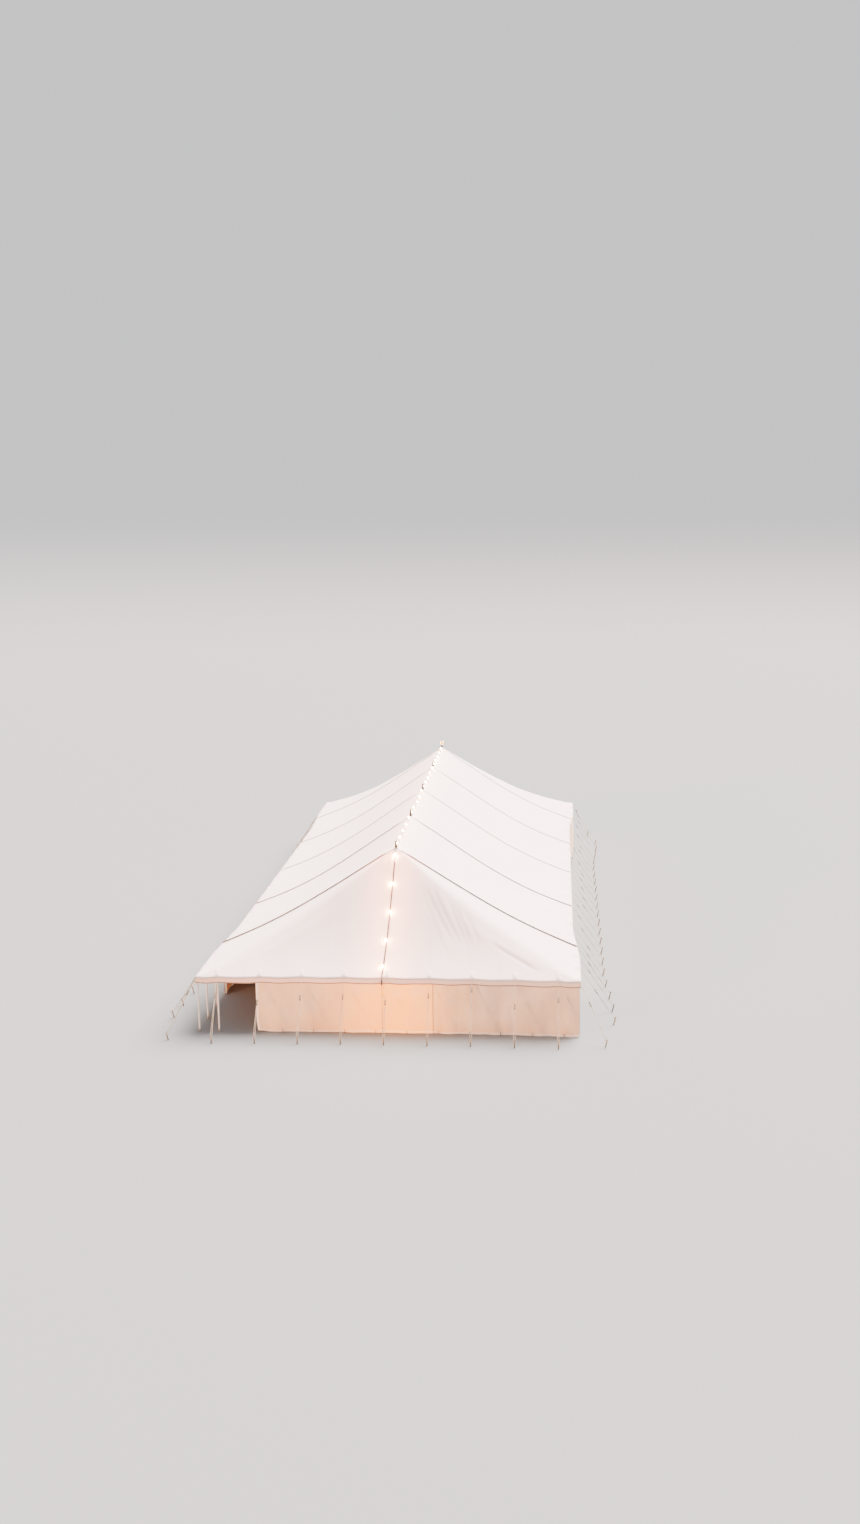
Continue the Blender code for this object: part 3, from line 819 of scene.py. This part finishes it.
corner_x = HALF_WIDTH - WALL_INSET
corner_y = end_eave(HALF_WIDTH) - WALL_INSET - 0.012
WALLS = {
    "wall_front_1": ("front", OPENING_EDGE, END_PITCH + WALL_LAP, WALL_LAP_LIFT),
    "wall_front_2": ("front", END_PITCH, corner_x, 0.0),
    "wall_back_1": ("back", -corner_x, END_PITCH + WALL_LAP, WALL_LAP_LIFT),
    "wall_back_2": ("back", END_PITCH, corner_x, 0.0),
}
for side in ("left", "right"):
    ends = KING_Y + [corner_y]
    for number, (start, stop) in enumerate(zip(ends, ends[1:]), 1):
        outer = number % 2
        late = WALL_LAP if outer and number < 5 else 0.0
        early = WALL_LAP if outer and number > 1 else 0.0
        WALLS[f"wall_{side}_{number}"] = (side, start - early, stop + late, WALL_LAP_LIFT * outer)

for node, (side, start, stop, lap) in WALLS.items():
    length = stop - start

    def curtain_place(u, v):
        where = start + length * u
        point = wall_point(side, where, WALL_TOP * v, lap)
        if node == "wall_front_1":
            curl = smooth_step(1 - (where - start) / 0.45) * smooth_step(1 - v / 0.22)
            point += Vector((0.05 * curl, -0.05 * curl, 0.07 * curl))
        return point

    cut = flat_cut(length, WALL_TOP, start)
    bm = sewn_sheet(round(length / 0.045), 34, curtain_place, cut, OUTWARD[side])
    name = node.replace("wall_", "wall_curtain_")
    wall = new_piece(name, bm, wall_cream, "wall_canvas", node, THIN_CANVAS, 0.0)
    "poles_" + side


# The side poles are ash rods at the eaves, each with a steel ferrule and a spike that goes up
# through a brass eyelet in the canvas. They carry the wall rope, which takes a turn round each.
POLE_RADIUS = 0.028
POLE_INSET = 0.0683
SPIKE_RADIUS = 0.006
WALL_ROPE_HEIGHT = 1.7
WALL_ROPE_RADIUS = 0.006
WALL_ROPE_CORNER = 13.5
STRAND_PITCH = 0.042


def wood_finish(name, light, dark, grain_scale, roughness):
    """Split or turned wood, with grain along its length and worn, darker ends near the ground."""
    wood = Finish(name, roughness)
    place = wood.place()
    grain = wood.noise(wood.stretched(place, grain_scale), 1.0, 5.0)
    wood.dye(grain.ramp(0.35, 0.68), light, dark)
    wood.stain(wood.noise(place, 4.0, 3.0).ramp(0.4, 0.8) * 0.35, dark)
    wood.stain((1 - wood.parts(place)[2].ramp(0.0, 0.16)) * 0.7, (0.12, 0.09, 0.06))
    wood.set(Roughness=roughness + grain * 0.2, Normal=wood.bump(grain, 0.25, 0.002))
    return wood


ash_grain = (90.0, 90.0, 6.0)
ash = wood_finish("oiled_ash", (0.95, 0.90, 0.81), (0.79, 0.69, 0.56), ash_grain, 0.45)

steel_greys = ((0.42, 0.41, 0.40), (0.20, 0.15, 0.12))
steel = worn_finish("dull_steel", steel_greys, (45.0, 5.0), 0.4, 0.75, 0.35, 0.35, 1.0)

iron_blacks = ((0.035, 0.032, 0.03), (0.14, 0.10, 0.08))
black_iron = worn_finish("blackened_iron", iron_blacks, (35.0, 5.0), 0.45, 0.8, 0.45, 0.3, 0.6)

# Laid rope: strands that wind round it, with painted shade in the grooves, and a little fuzz.
ROPE_STRAW = (0.86, 0.75, 0.55)
ROPE_BROWN = (0.42, 0.31, 0.19)

natural_rope = Finish("natural_rope", 0.9)
rope_around, rope_along = natural_rope.cut()
strand_turns = rope_along * (math.tau / STRAND_PITCH) + rope_around * (math.tau * 3 / STRAND_PITCH)
strands = strand_turns.sine()
# Painted shade: the grooves between the strands are darker.
natural_rope.dye(strands.ramp(-0.9, 0.4), ROPE_BROWN, ROPE_STRAW)
rope_mottle = natural_rope.noise(natural_rope.place(), 2.5, 3.0)
natural_rope.stain(rope_mottle.ramp(0.35, 0.8) * 0.5, ROPE_BROWN)
fuzz = natural_rope.noise(natural_rope.place(), 220.0, 3.0)
rope_relief = natural_rope.bump(strands, 0.8, 0.003)
natural_rope.set(Normal=natural_rope.bump(fuzz, 0.3, 0.001, rope_relief))

pole_corner = HALF_WIDTH - POLE_INSET
hip_stations = [HALF_RIDGE + i * HIP_PITCH for i in range(1, 3)]
SIDE_STATIONS = [-y for y in reversed(hip_stations)]
SIDE_STATIONS += [-HALF_RIDGE + i * SIDE_PITCH for i in range(17)] + hip_stations
END_STATIONS = [i * END_PITCH for i in range(-4, 5)]
POLE_PLACES = {}
for side in HAND:
    row = SIDE_STATIONS
    if side in ("front", "back"):
        row = [-pole_corner] + END_STATIONS + [pole_corner]
    POLE_PLACES[side] = [Vector((*beside_eave(side, where, -POLE_INSET), 0)) for where in row]


def canvas_underside(x, y, radius):
    """The height under the canvas that a flat pole head of this radius can reach."""
    rim = [(x + radius * math.cos(a), y + radius * math.sin(a)) for a in (0, 1, 2, 3, 4, 5)]
    return min(canvas_height(*point) for point in rim) - CANVAS - 0.002


def add_tube(bm, points, radius, sides=8):
    """Adds a closed round tube along points, with a UV map round it and along it in metres."""
    flat = bm.loops.layers.uv.get("cut") or bm.loops.layers.uv.new("cut")
    rows = len(points) - 1
    verts = bmesh.ops.create_grid(bm, x_segments=sides, y_segments=rows, size=0.5)["verts"]
    runs = [0.0]
    for a, b in zip(points, points[1:]):
        runs.append(runs[-1] + (b - a).length)
    frames = []
    side = None
    for row in range(rows + 1):
        along = (points[min(row + 1, rows)] - points[max(row - 1, 0)]).normalized()
        side = side or along.orthogonal()
        side = (side - along * side.dot(along)).normalized()
        frames.append((side, along.cross(side)))
    for vert in verts:
        column = round((vert.co.x + 0.5) * sides)
        row = round((vert.co.y + 0.5) * rows)
        angle = math.tau * column / sides
        for loop in vert.link_loops:
            loop[flat].uv = (radius * angle, runs[row])
        first, second = frames[row]
        vert.co = points[row] + radius * (first * math.cos(angle) + second * math.sin(angle))
    bmesh.ops.remove_doubles(bm, verts=verts, dist=radius * 0.01)
    verts = [vert for vert in verts if vert.is_valid]
    rim = {edge for vert in verts for edge in vert.link_edges if edge.is_boundary}
    caps = bmesh.ops.holes_fill(bm, edges=list(rim), sides=0)["faces"]
    around = {face for vert in verts for face in vert.link_faces} | set(caps)
    bmesh.ops.recalc_face_normals(bm, faces=list(around))


def pole_wood(radius, chamfer, taper, taper_from, top):
    """The profile of a turned pole, chamfered at the foot and thinner towards the top."""
    foot = [(0.0, 0.0), (radius - chamfer, 0.0), (radius, chamfer + 0.002)]
    return foot + [(radius, taper_from), (radius - taper, top), (0.0, top)]


def pole_cap(radius, depth, wall, edge, spike, top):
    """The profile of a steel cap over the head of a pole, up to the foot of its spike."""
    low = top - depth
    sleeve = [(0.0, low), (radius, low), (radius + wall, low + 0.005), (radius + wall, top - edge)]
    return sleeve + [(radius - edge, top), (spike, top)]


def round_pole(centre, radius, height, angle):
    """A point on a circle round the axis of a pole."""
    return centre + Vector((radius * math.cos(angle), radius * math.sin(angle), height))


for side, places in POLE_PLACES.items():
    node = "poles_" + side
    rods = bmesh.new()
    steels = bmesh.new()
    for foot in places:
        top = canvas_underside(foot.x, foot.y, POLE_RADIUS)
        rod = pole_wood(POLE_RADIUS, 0.004, 0.002, top * 0.5, top - 0.07)
        ferrule = pole_cap(POLE_RADIUS, 0.085, 0.001, 0.003, SPIKE_RADIUS, top)
        ferrule += [(SPIKE_RADIUS, top + 0.075), (SPIKE_RADIUS * 0.4, top + 0.085), (0.0, top + 0.087)]
        copies(lathe(rod, 16), [Matrix.Translation(foot)], rods)
        copies(lathe(ferrule, 16), [Matrix.Translation(foot)], steels)
    new_piece("side_poles_" + side, rods, ash, "side_pole_wood", node)
    new_piece("pole_spikes_" + side, steels, steel, "spike_steel", node)

    route = list(places)
    if side in ("left", "right"):
        first, last = (beside_eave(side, y, -POLE_INSET) for y in (-WALL_ROPE_CORNER, WALL_ROPE_CORNER))
        route = [Vector((*first, 0)), *places, Vector((*last, 0))]
    rope = []
    for a, b in zip(route, route[1:]):
        for share in (0.0, 0.25, 0.5, 0.75):
            height = WALL_ROPE_HEIGHT - 0.012 * math.sin(math.pi * share)
            rope.append(a.lerp(b, share) + UP * height)
    rope.append(route[-1] + UP * WALL_ROPE_HEIGHT)
    bm = bmesh.new()
    add_tube(bm, rope, WALL_ROPE_RADIUS)
    reach = POLE_RADIUS + WALL_ROPE_RADIUS
    angles = [math.tau * step / 16 for step in range(17)]
    for place in places:
        for turn in (-1, 0, 1):
            height = WALL_ROPE_HEIGHT + turn * 0.0125
            add_tube(bm, [round_pole(place, reach, height, a) for a in angles], WALL_ROPE_RADIUS, 6)
    new_piece("wall_rope_" + side, bm, natural_rope, "guy_rope", node)


# At each side pole the eave is doubled by a square patch, with a brass eyelet for the spike. The
# patch is sewn flat on the canvas and gets narrower up the slope.
EAVE_PATCH_WIDTH = 0.18
EAVE_PATCH_DEPTH = 0.24
EAVE_PATCH_CANVAS = 0.002


def pointing(spot, direction):
    """A matrix that puts a shape at a spot, with its Z along a direction."""
    return Matrix.Translation(spot) @ direction.to_track_quat("Z", "Y").to_matrix().to_4x4()


def lie_on_canvas(x, y, lift):
    """A matrix that lays a shape on the roof at a point of the plan."""
    slope_x = (canvas_height(x + 0.01, y) - canvas_height(x - 0.01, y)) / 0.02
    slope_y = (canvas_height(x, y + 0.01) - canvas_height(x, y - 0.01)) / 0.02
    normal = Vector((-slope_x, -slope_y, 1)).normalized()
    return pointing(Vector((x, y, canvas_height(x, y))) + normal * lift, normal)


for side, places in POLE_PLACES.items():
    inward = -OUTWARD[side]
    beside = inward.cross(UP)
    stations = places if side in ("left", "right") else places[1:-1]
    bm = bmesh.new()
    flat = bm.loops.layers.uv.new("cut")
    for place in stations:
        for vert in bmesh.ops.create_grid(bm, x_segments=6, y_segments=6, size=0.5)["verts"]:
            for loop in vert.link_loops:
                loop[flat].uv = (vert.co.x * EAVE_PATCH_WIDTH + 0.45, vert.co.y)
            across = vert.co.x * EAVE_PATCH_WIDTH * (1 - 0.25 * (vert.co.y + 0.5))
            inset = (vert.co.y + 0.5) * EAVE_PATCH_DEPTH - 0.055
            point = place + beside * across + inward * inset
            vert.co = (point.x, point.y, canvas_height(point.x, point.y) + CANVAS)
    face_towards(bm, UP)
    name = "eave_patches_" + side
    doubled = new_piece(name, bm, lap_canvas, "roof_canvas", None, EAVE_PATCH_CANVAS, 1.0)
    spots = [lie_on_canvas(place.x, place.y, 0.008) for place in stations]
    rings = copies(eyelet(0.008, 0.024, 0.004), spots)
    new_piece("eave_eyelets_" + side, rings, brass, "eyelet_brass")


# Black iron pegs hold the foot of the walls, each through a short loop of rope. They are driven
# in just outside the canvas, about a metre apart.
PEG_PITCH = 0.99
FIRST_PEG = 0.62
PEG_RADIUS = 0.008
PEG_HEAD_RADIUS = 0.012
PEG_HEIGHT = 0.10
PEG_LOOP_RADIUS = 0.005

for side, outward in OUTWARD.items():
    pegs = bmesh.new()
    loops = bmesh.new()
    for wall_side, start, stop, lap in WALLS.values():
        if wall_side != side:
            continue
        count = math.ceil((start + 0.2 - FIRST_PEG) / PEG_PITCH)
        while FIRST_PEG + count * PEG_PITCH < stop - 0.15:
            foot = wall_point(side, FIRST_PEG + count * PEG_PITCH, 0.03, lap)
            out = foot + outward * 0.045
            ground = Vector((out.x, out.y, 0.0))
            top = ground + UP * PEG_HEIGHT + outward * 0.02
            add_tube(pegs, [ground + UP * 0.003, top.lerp(out, 0.5), top], PEG_RADIUS)
            add_tube(pegs, [top - outward * 0.012, top + outward * 0.022], PEG_HEAD_RADIUS)
            bend = [foot + outward * 0.004, foot + outward * 0.02 + UP * 0.022]
            bend += [ground + UP * 0.062 + outward * 0.004, ground + UP * 0.060 + outward * 0.021]
            add_tube(loops, bend, PEG_LOOP_RADIUS, 6)
            count += 1
    new_piece("wall_pegs_" + side, pegs, black_iron, "spike_steel")
    new_piece("peg_loops_" + side, loops, natural_rope, "guy_rope")


# The king poles are varnished, in two lengths joined by a steel sleeve, with a steel cap and a
# long spike through the crown.
KING_RADIUS = 0.055
KING_SPIKE_RADIUS = 0.012
SPIKE_TOP = 5.5
SLEEVE_HEIGHT = 2.6
SLEEVE_RADIUS = KING_RADIUS + 0.004

pine_grain = (60.0, 60.0, 4.0)
pine_light, pine_dark = (0.58, 0.38, 0.20), (0.34, 0.19, 0.08)
varnished = wood_finish("varnished_pole", pine_light, pine_dark, pine_grain, 0.3)

shank = KING_RADIUS - 0.002
low, high = SLEEVE_HEIGHT - 0.2, SLEEVE_HEIGHT + 0.2
sleeve = [(shank, low), (SLEEVE_RADIUS - 0.001, low), (SLEEVE_RADIUS, low + 0.002)]
sleeve += [(SLEEVE_RADIUS, high - 0.002), (SLEEVE_RADIUS - 0.001, high), (shank, high), (shank, low)]

for number, king in enumerate(KING_Y, 1):
    node = f"king_pole_{number}"
    top = canvas_underside(0.0, king, KING_RADIUS)
    spot = [Matrix.Translation((0, king, 0))]
    pole = pole_wood(KING_RADIUS, 0.006, 0.004, SLEEVE_HEIGHT, top - 0.1)
    wood = copies(lathe(pole, 32), spot)
    new_piece(f"crown_pole_{number}", wood, varnished, "king_pole_wood", node)
    cap = pole_cap(KING_RADIUS, 0.12, 0.002, 0.004, KING_SPIKE_RADIUS, top)
    cap += [(KING_SPIKE_RADIUS, SPIKE_TOP - 0.05), (KING_SPIKE_RADIUS * 0.5, SPIKE_TOP - 0.012)]
    cap += [(0.0, SPIKE_TOP)]
    fittings = copies(lathe(sleeve, 32), spot, copies(lathe(cap, 24), spot))
    new_piece(f"crown_spike_{number}", fittings, black_iron, "spike_steel", node)


# Each guy rope is laid natural fibre. It is spliced to the eave webbing, runs down through a
# wooden slider, and from there goes doubled round its stake.
GUY_RADIUS = 0.0065
GUY_REACH = 1.1
CORNER_REACH = 0.8
CORNER_GUY = HALF_WIDTH - 0.0225
GUY_OUT = 0.0103
GUY_DROP = 0.0228
SPLICE_RADIUS = 0.013
TIE_HEIGHT = 0.2
STAKE_HEIGHT = 0.27
STAKE_RADIUS = 0.022
STAKE_LEAN = 0.25
SLIDER_LENGTH = 0.17
HOLE_OFFSET = 0.011
# How far down its rope each slider at the front sits. The others are drawn at random.
FRONT_SLIDES = (0.3, 0.42, 0.34, 0.32, 0.4, 0.28, 0.17, 0.43, 0.3)

beech_light, beech_dark = (0.075, 0.048, 0.030), (0.036, 0.023, 0.015)
slider_wood = wood_finish("slider_beech", beech_light, beech_dark, (30.0, 30.0, 30.0), 0.4)
stake_light, stake_dark = (0.42, 0.30, 0.19), (0.24, 0.16, 0.10)
stake_wood = wood_finish("weathered_stake", stake_light, stake_dark, (80.0, 80.0, 8.0), 0.7)


def guy_lines(side):
    """The head and the reach of each guy rope of a side."""
    if side in ("left", "right"):
        lines = [(y, OUTWARD[side] * GUY_REACH) for y in SIDE_STATIONS]
    else:
        lines = [(x, OUTWARD[side] * GUY_REACH) for x in END_STATIONS]
        for corner in (-1, 1):
            lines.append((corner * CORNER_GUY, Vector((corner, HAND[side], 0)) * CORNER_REACH))
    return [(eave_point(side, where, GUY_OUT) - UP * GUY_DROP, reach) for where, reach in lines]


def slider_shape():
    """A flat wooden runner with a waist, along Z, its flat sides towards Y."""
    bm = bmesh.new()
    bmesh.ops.create_cube(bm, size=1.0)
    bmesh.ops.scale(bm, verts=bm.verts[:], vec=(0.06, 0.024, SLIDER_LENGTH))
    long_edges = [e for e in bm.edges if abs(e.verts[0].co.z - e.verts[1].co.z) > 0.01]
    bmesh.ops.subdivide_edges(bm, edges=long_edges, cuts=7, use_grid_fill=True)
    for vert in bm.verts:
        waist = math.cos(math.pi * vert.co.z / SLIDER_LENGTH) ** 2
        vert.co.x *= 1 - 0.28 * waist
        if abs(vert.co.z) > SLIDER_LENGTH * 0.45:
            vert.co.x *= 0.8
    bmesh.ops.bevel(
        bm,
        geom=[e for e in bm.edges if e.calc_face_angle(0.0) > 0.6],
        offset=0.004,
        segments=2,
        profile=0.5,
        affect="EDGES",
        material=-1,
    )
    return bm


def sagged(a, b, sag, steps):
    """Points from a to b along a rope that sags a little."""
    shares = [step / steps for step in range(steps + 1)]
    return [a.lerp(b, share) - UP * (sag * 4 * share * (1 - share)) for share in shares]


draw = random.Random(7)
stake = [(0.0, 0.0), (STAKE_RADIUS, 0.0), (STAKE_RADIUS, STAKE_HEIGHT - 0.03)]
stake += [(STAKE_RADIUS + 0.002, STAKE_HEIGHT - 0.012), (STAKE_RADIUS - 0.004, STAKE_HEIGHT - 0.002)]
stake += [(0.0, STAKE_HEIGHT)]
half_turn = [math.pi * step / 12 for step in range(13)]

for side in HAND:
    node = "guys_" + side
    lines = bmesh.new()
    slider_spots = []
    stake_spots = []
    for number, (head, reach) in enumerate(guy_lines(side)):
        outward = reach.normalized()
        tie = Vector((head.x, head.y, TIE_HEIGHT)) + reach
        run = (tie - head).normalized()
        beside = run.cross(UP).normalized()
        above = beside.cross(run)
        slide = draw.uniform(0.2, 0.5)
        if side == "front" and number < len(FRONT_SLIDES):
            slide = FRONT_SLIDES[number]
        slider = head.lerp(tie, slide)
        slack = draw.uniform(0.008, 0.022)
        upper = slider - run * SLIDER_LENGTH * 0.42 + above * HOLE_OFFSET
        lower = slider + run * SLIDER_LENGTH * 0.42 - above * HOLE_OFFSET
        knot = [head + run * (0.012 + 0.006 * step) for step in range(4)]
        add_tube(lines, knot, SPLICE_RADIUS)
        add_tube(lines, sagged(head, upper, slack * 0.5, 6), GUY_RADIUS)
        spread = beside * (STAKE_RADIUS + GUY_RADIUS)
        past = outward * (STAKE_RADIUS + GUY_RADIUS)
        add_tube(lines, sagged(upper, tie + spread, slack, 10), GUY_RADIUS)
        add_tube(lines, sagged(lower, tie - spread, slack * 1.4, 8), GUY_RADIUS)
        loop = [tie + spread * math.cos(angle) + past * math.sin(angle) for angle in half_turn]
        add_tube(lines, loop, GUY_RADIUS)
        turned = Matrix((beside, above, run)).transposed().to_4x4()
        slider_spots.append(Matrix.Translation(slider) @ turned)
        lean = outward * STAKE_LEAN
        shear = Matrix.Identity(4)
        shear[0][2] = lean.x
        shear[1][2] = lean.y
        foot = Vector((tie.x, tie.y, 0.0)) - lean * tie.z
        stake_spots.append(Matrix.Translation(foot) @ shear)
    new_piece("guy_ropes_" + side, lines, natural_rope, "guy_rope", node)
    sliders = copies(slider_shape(), slider_spots)
    new_piece("rope_sliders_" + side, sliders, slider_wood, "slider_wood", node)
    stakes = copies(lathe(stake, 12), stake_spots)
    new_piece("stakes_" + side, stakes, stake_wood, "stake_wood", node)
    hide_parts(node)


# The festoon is a black rubber cable with a moulded lampholder and a warm globe lamp about
# every metre. It runs from spike to spike along the ridge, and down the front slope and wall.
CABLE_RADIUS = 0.006
BULB_RADIUS = 0.03
BULB_PITCH = 1.04
BULB_CENTRE = 0.0292
FIRST_BULB = 0.33
FESTOON_SHIFT = -0.15
CABLE_LIFT = 0.0083
CABLE_END_HEIGHT = 0.12
SPIKE_GAP = 0.0183
SLOPE_STEPS = 48
COUPLER_RADIUS = 0.02
COUPLER_RINGS = (0.085, 0.07, 0.0, -0.07, -0.085)
HOLDER_LENGTH = 0.04

rubber_blacks = ((0.022, 0.021, 0.021), (0.06, 0.057, 0.055))
rubber = worn_finish("black_rubber", rubber_blacks, (40.0, 3.0), 0.4, 0.8, 0.4, 0.3)
rubber.set(Normal=rubber.bump(rubber.noise(rubber.place(), 300.0, 2.0), 0.2, 0.0006))

WARM_WHITE = ((1.0, 0.50, 0.17), (1.0, 0.60, 0.26))
AMBER = ((1.0, 0.46, 0.03), (1.0, 0.52, 0.06))


def lit_glass(name, tints, strength, low=1.0):
    """Frosted glass lit by a warm filament, and lit less by the factor low under the eaves."""
    glass = Finish(name, 0.15)
    place = glass.place()
    lit = glass.mix(glass.noise(place, 25.0, 2.0).ramp(0.2, 0.8), *tints)
    if low < 1:
        under_eaves = 1 - glass.parts(place)[2].ramp(1.7, 1.8)
        lit = glass.mix(under_eaves, lit, (low, 0.5 * low, 0.17 * low))
    glass.set(Base_Color=(1.0, 0.80, 0.50), Coat_Weight=0.3)
    glass.set(Emission_Color=lit, Emission_Strength=strength)
    return glass


ridge_glass = lit_glass("lit_ridge_glass", WARM_WHITE, 420.0)
front_glass = lit_glass("lit_front_glass", WARM_WHITE, 720.0, 0.002)


def festoon_routes():
    """The cable's points for each stretch of the festoon, as they are in the CAD model."""
    routes = {}
    for bay, king in enumerate(KING_Y[:-1], 1):
        points = []
        for step in range(41):
            y = king + SPIKE_GAP + (BAY_LENGTH - 2 * SPIKE_GAP) * step / 40
            points.append(Vector((0, y, canvas_height(0, y) + CABLE_LIFT)))
        routes[f"festoon_ridge_{bay}"] = points
    start = -HALF_RIDGE - SPIKE_GAP
    eave = -end_eave(FESTOON_SHIFT)
    points = []
    for step in range(SLOPE_STEPS + 1):
        t = step / SLOPE_STEPS
        x = FESTOON_SHIFT * t
        y = start + (eave - start) * t
        slope = (canvas_height(x, y + 0.02) - canvas_height(x, y - 0.02)) / 0.04
        points.append(Vector((x, y, canvas_height(x, y) + CABLE_LIFT * math.hypot(1, slope))))
    outside = eave - 0.04
    edge = points[-1].z
    drop = edge - 0.045
    points.append(Vector((FESTOON_SHIFT, eave - 0.02, edge - 0.004)))
    points.append(Vector((FESTOON_SHIFT, outside + 0.003, edge - 0.02)))
    points.append(Vector((FESTOON_SHIFT, outside, drop)))
    for step in range(1, 25):
        share = step / 24
        sway = 0.012 * math.sin(math.pi * share) * math.sin(5 * share)
        height = drop + (CABLE_END_HEIGHT - drop) * share
        points.append(Vector((FESTOON_SHIFT + sway, outside, height)))
    routes["festoon_front"] = points
    return routes


holder = [(0.0, -0.012), (0.011, -0.012), (0.0135, -0.008), (0.0135, HOLDER_LENGTH - 0.012)]
holder += [(0.0165, HOLDER_LENGTH - 0.008), (0.0165, HOLDER_LENGTH - 0.001)]
holder += [(0.012, HOLDER_LENGTH), (0.0, HOLDER_LENGTH)]
globe = [(0.0, 0.0), (0.011, 0.0), (0.0115, 0.008)]
for step in range(3, 12):
    angle = math.pi * step / 12
    globe.append((BULB_RADIUS * math.sin(angle), BULB_CENTRE - BULB_RADIUS * math.cos(angle)))
globe.append((0.0, BULB_CENTRE + BULB_RADIUS))
connector = [(0.0, 0.0), (0.008, 0.0), (0.010, 0.022), (0.017, 0.028), (0.018, 0.062)]
connector += [(0.020, 0.064), (0.020, 0.086), (0.016, 0.088), (0.0, 0.088)]


def add_lamps(holder_name, globe_name, spots, glass, node=None):
    """A lampholder and a globe lamp at each spot."""
    shells = copies(lathe(holder, 12), spots)
    holders = new_piece(holder_name, shells, rubber, "festoon_cable", node)
    globe_spots = [spot @ Matrix.Translation((0, 0, HOLDER_LENGTH - 0.004)) for spot in spots]
    bulbs = copies(lathe(globe, 16), globe_spots)
    return [holders, new_piece(globe_name, bulbs, glass, "festoon_bulb", node)]


for node, points in festoon_routes().items():
    in_front = node == "festoon_front"
    bm = bmesh.new()
    add_tube(bm, points, CABLE_RADIUS)
    stretch = node.replace("festoon_", "")
    cable = new_piece("festoon_cable_" + stretch, bm, rubber, "festoon_cable", node)
    spots = []
    due = FIRST_BULB
    for a, b in zip(points, points[1:]):
        run = b - a
        while due < run.length:
            lean = draw.uniform(-0.3, 0.3)
            tip = Vector((lean, -0.9, -0.5))
            if abs(run.z) < abs(run.y) * 5:
                outward = run.cross(Vector((1, 0, 0))).normalized()
                if run.y > 0:
                    outward.negate()
                tip = outward + Vector((lean, 0, 0)) - run.normalized() * 0.2
            tip.normalize()
            spots.append(pointing(a.lerp(b, due / run.length) + tip * 0.006, tip))
            due += BULB_PITCH
        due -= run.length
    glass = front_glass if in_front else ridge_glass
    fittings = add_lamps("lampholders_" + stretch, "lamps_" + stretch, spots, glass, node)
    if in_front:
        hung = Matrix.Translation(points[-1] + UP * 0.02) @ Matrix.Rotation(math.pi, 4, "X")
        plug = copies(lathe(connector, 16), [hung])
        fittings.append(new_piece("festoon_connector", plug, rubber, "festoon_cable", node))
        middle = points[SLOPE_STEPS + 3] - UP * 0.12
        bm = bmesh.new()
        add_tube(bm, [middle + UP * height for height in COUPLER_RINGS], COUPLER_RADIUS, 12)
        fittings.append(new_piece("festoon_coupler", bm, rubber, "festoon_cable", node))


# A spare end of the festoon is wound round the spike at the far end, with its last lamps. The
# cable takes three turns, and the lamps lean out from it all round.
SPARE_HEIGHT = 5.44
TURN_RISE = 0.012
SPARE_LAMPS = ((5.36, 0.3), (5.39, -1.2), (5.42, 2.6), (5.455, -2.3), (5.48, 1.0))

far_spike = Vector((0.0, HALF_RIDGE, 0.0))
reach = KING_SPIKE_RADIUS + CABLE_RADIUS + 0.001
winding = []
for step in range(49):
    turns = step / 16
    height = SPARE_HEIGHT + TURN_RISE * turns
    winding.append(round_pole(far_spike, reach, height, math.tau * turns - math.pi / 2))
bm = bmesh.new()
add_tube(bm, winding, CABLE_RADIUS)
new_piece("spike_cable", bm, rubber, "festoon_cable")

spare_spots = []
for height, turned_by in SPARE_LAMPS:
    tip = Vector((math.sin(turned_by), -math.cos(turned_by), 0.9)).normalized()
    start = far_spike + UP * (height - 0.02) + Vector((tip.x, tip.y, 0)) * 0.02
    spare_spots.append(pointing(start, tip))
spike_glass = lit_glass("lit_spike_glass", AMBER, 12.0)
add_lamps("spike_lampholders", "spike_lamps", spare_spots, spike_glass)
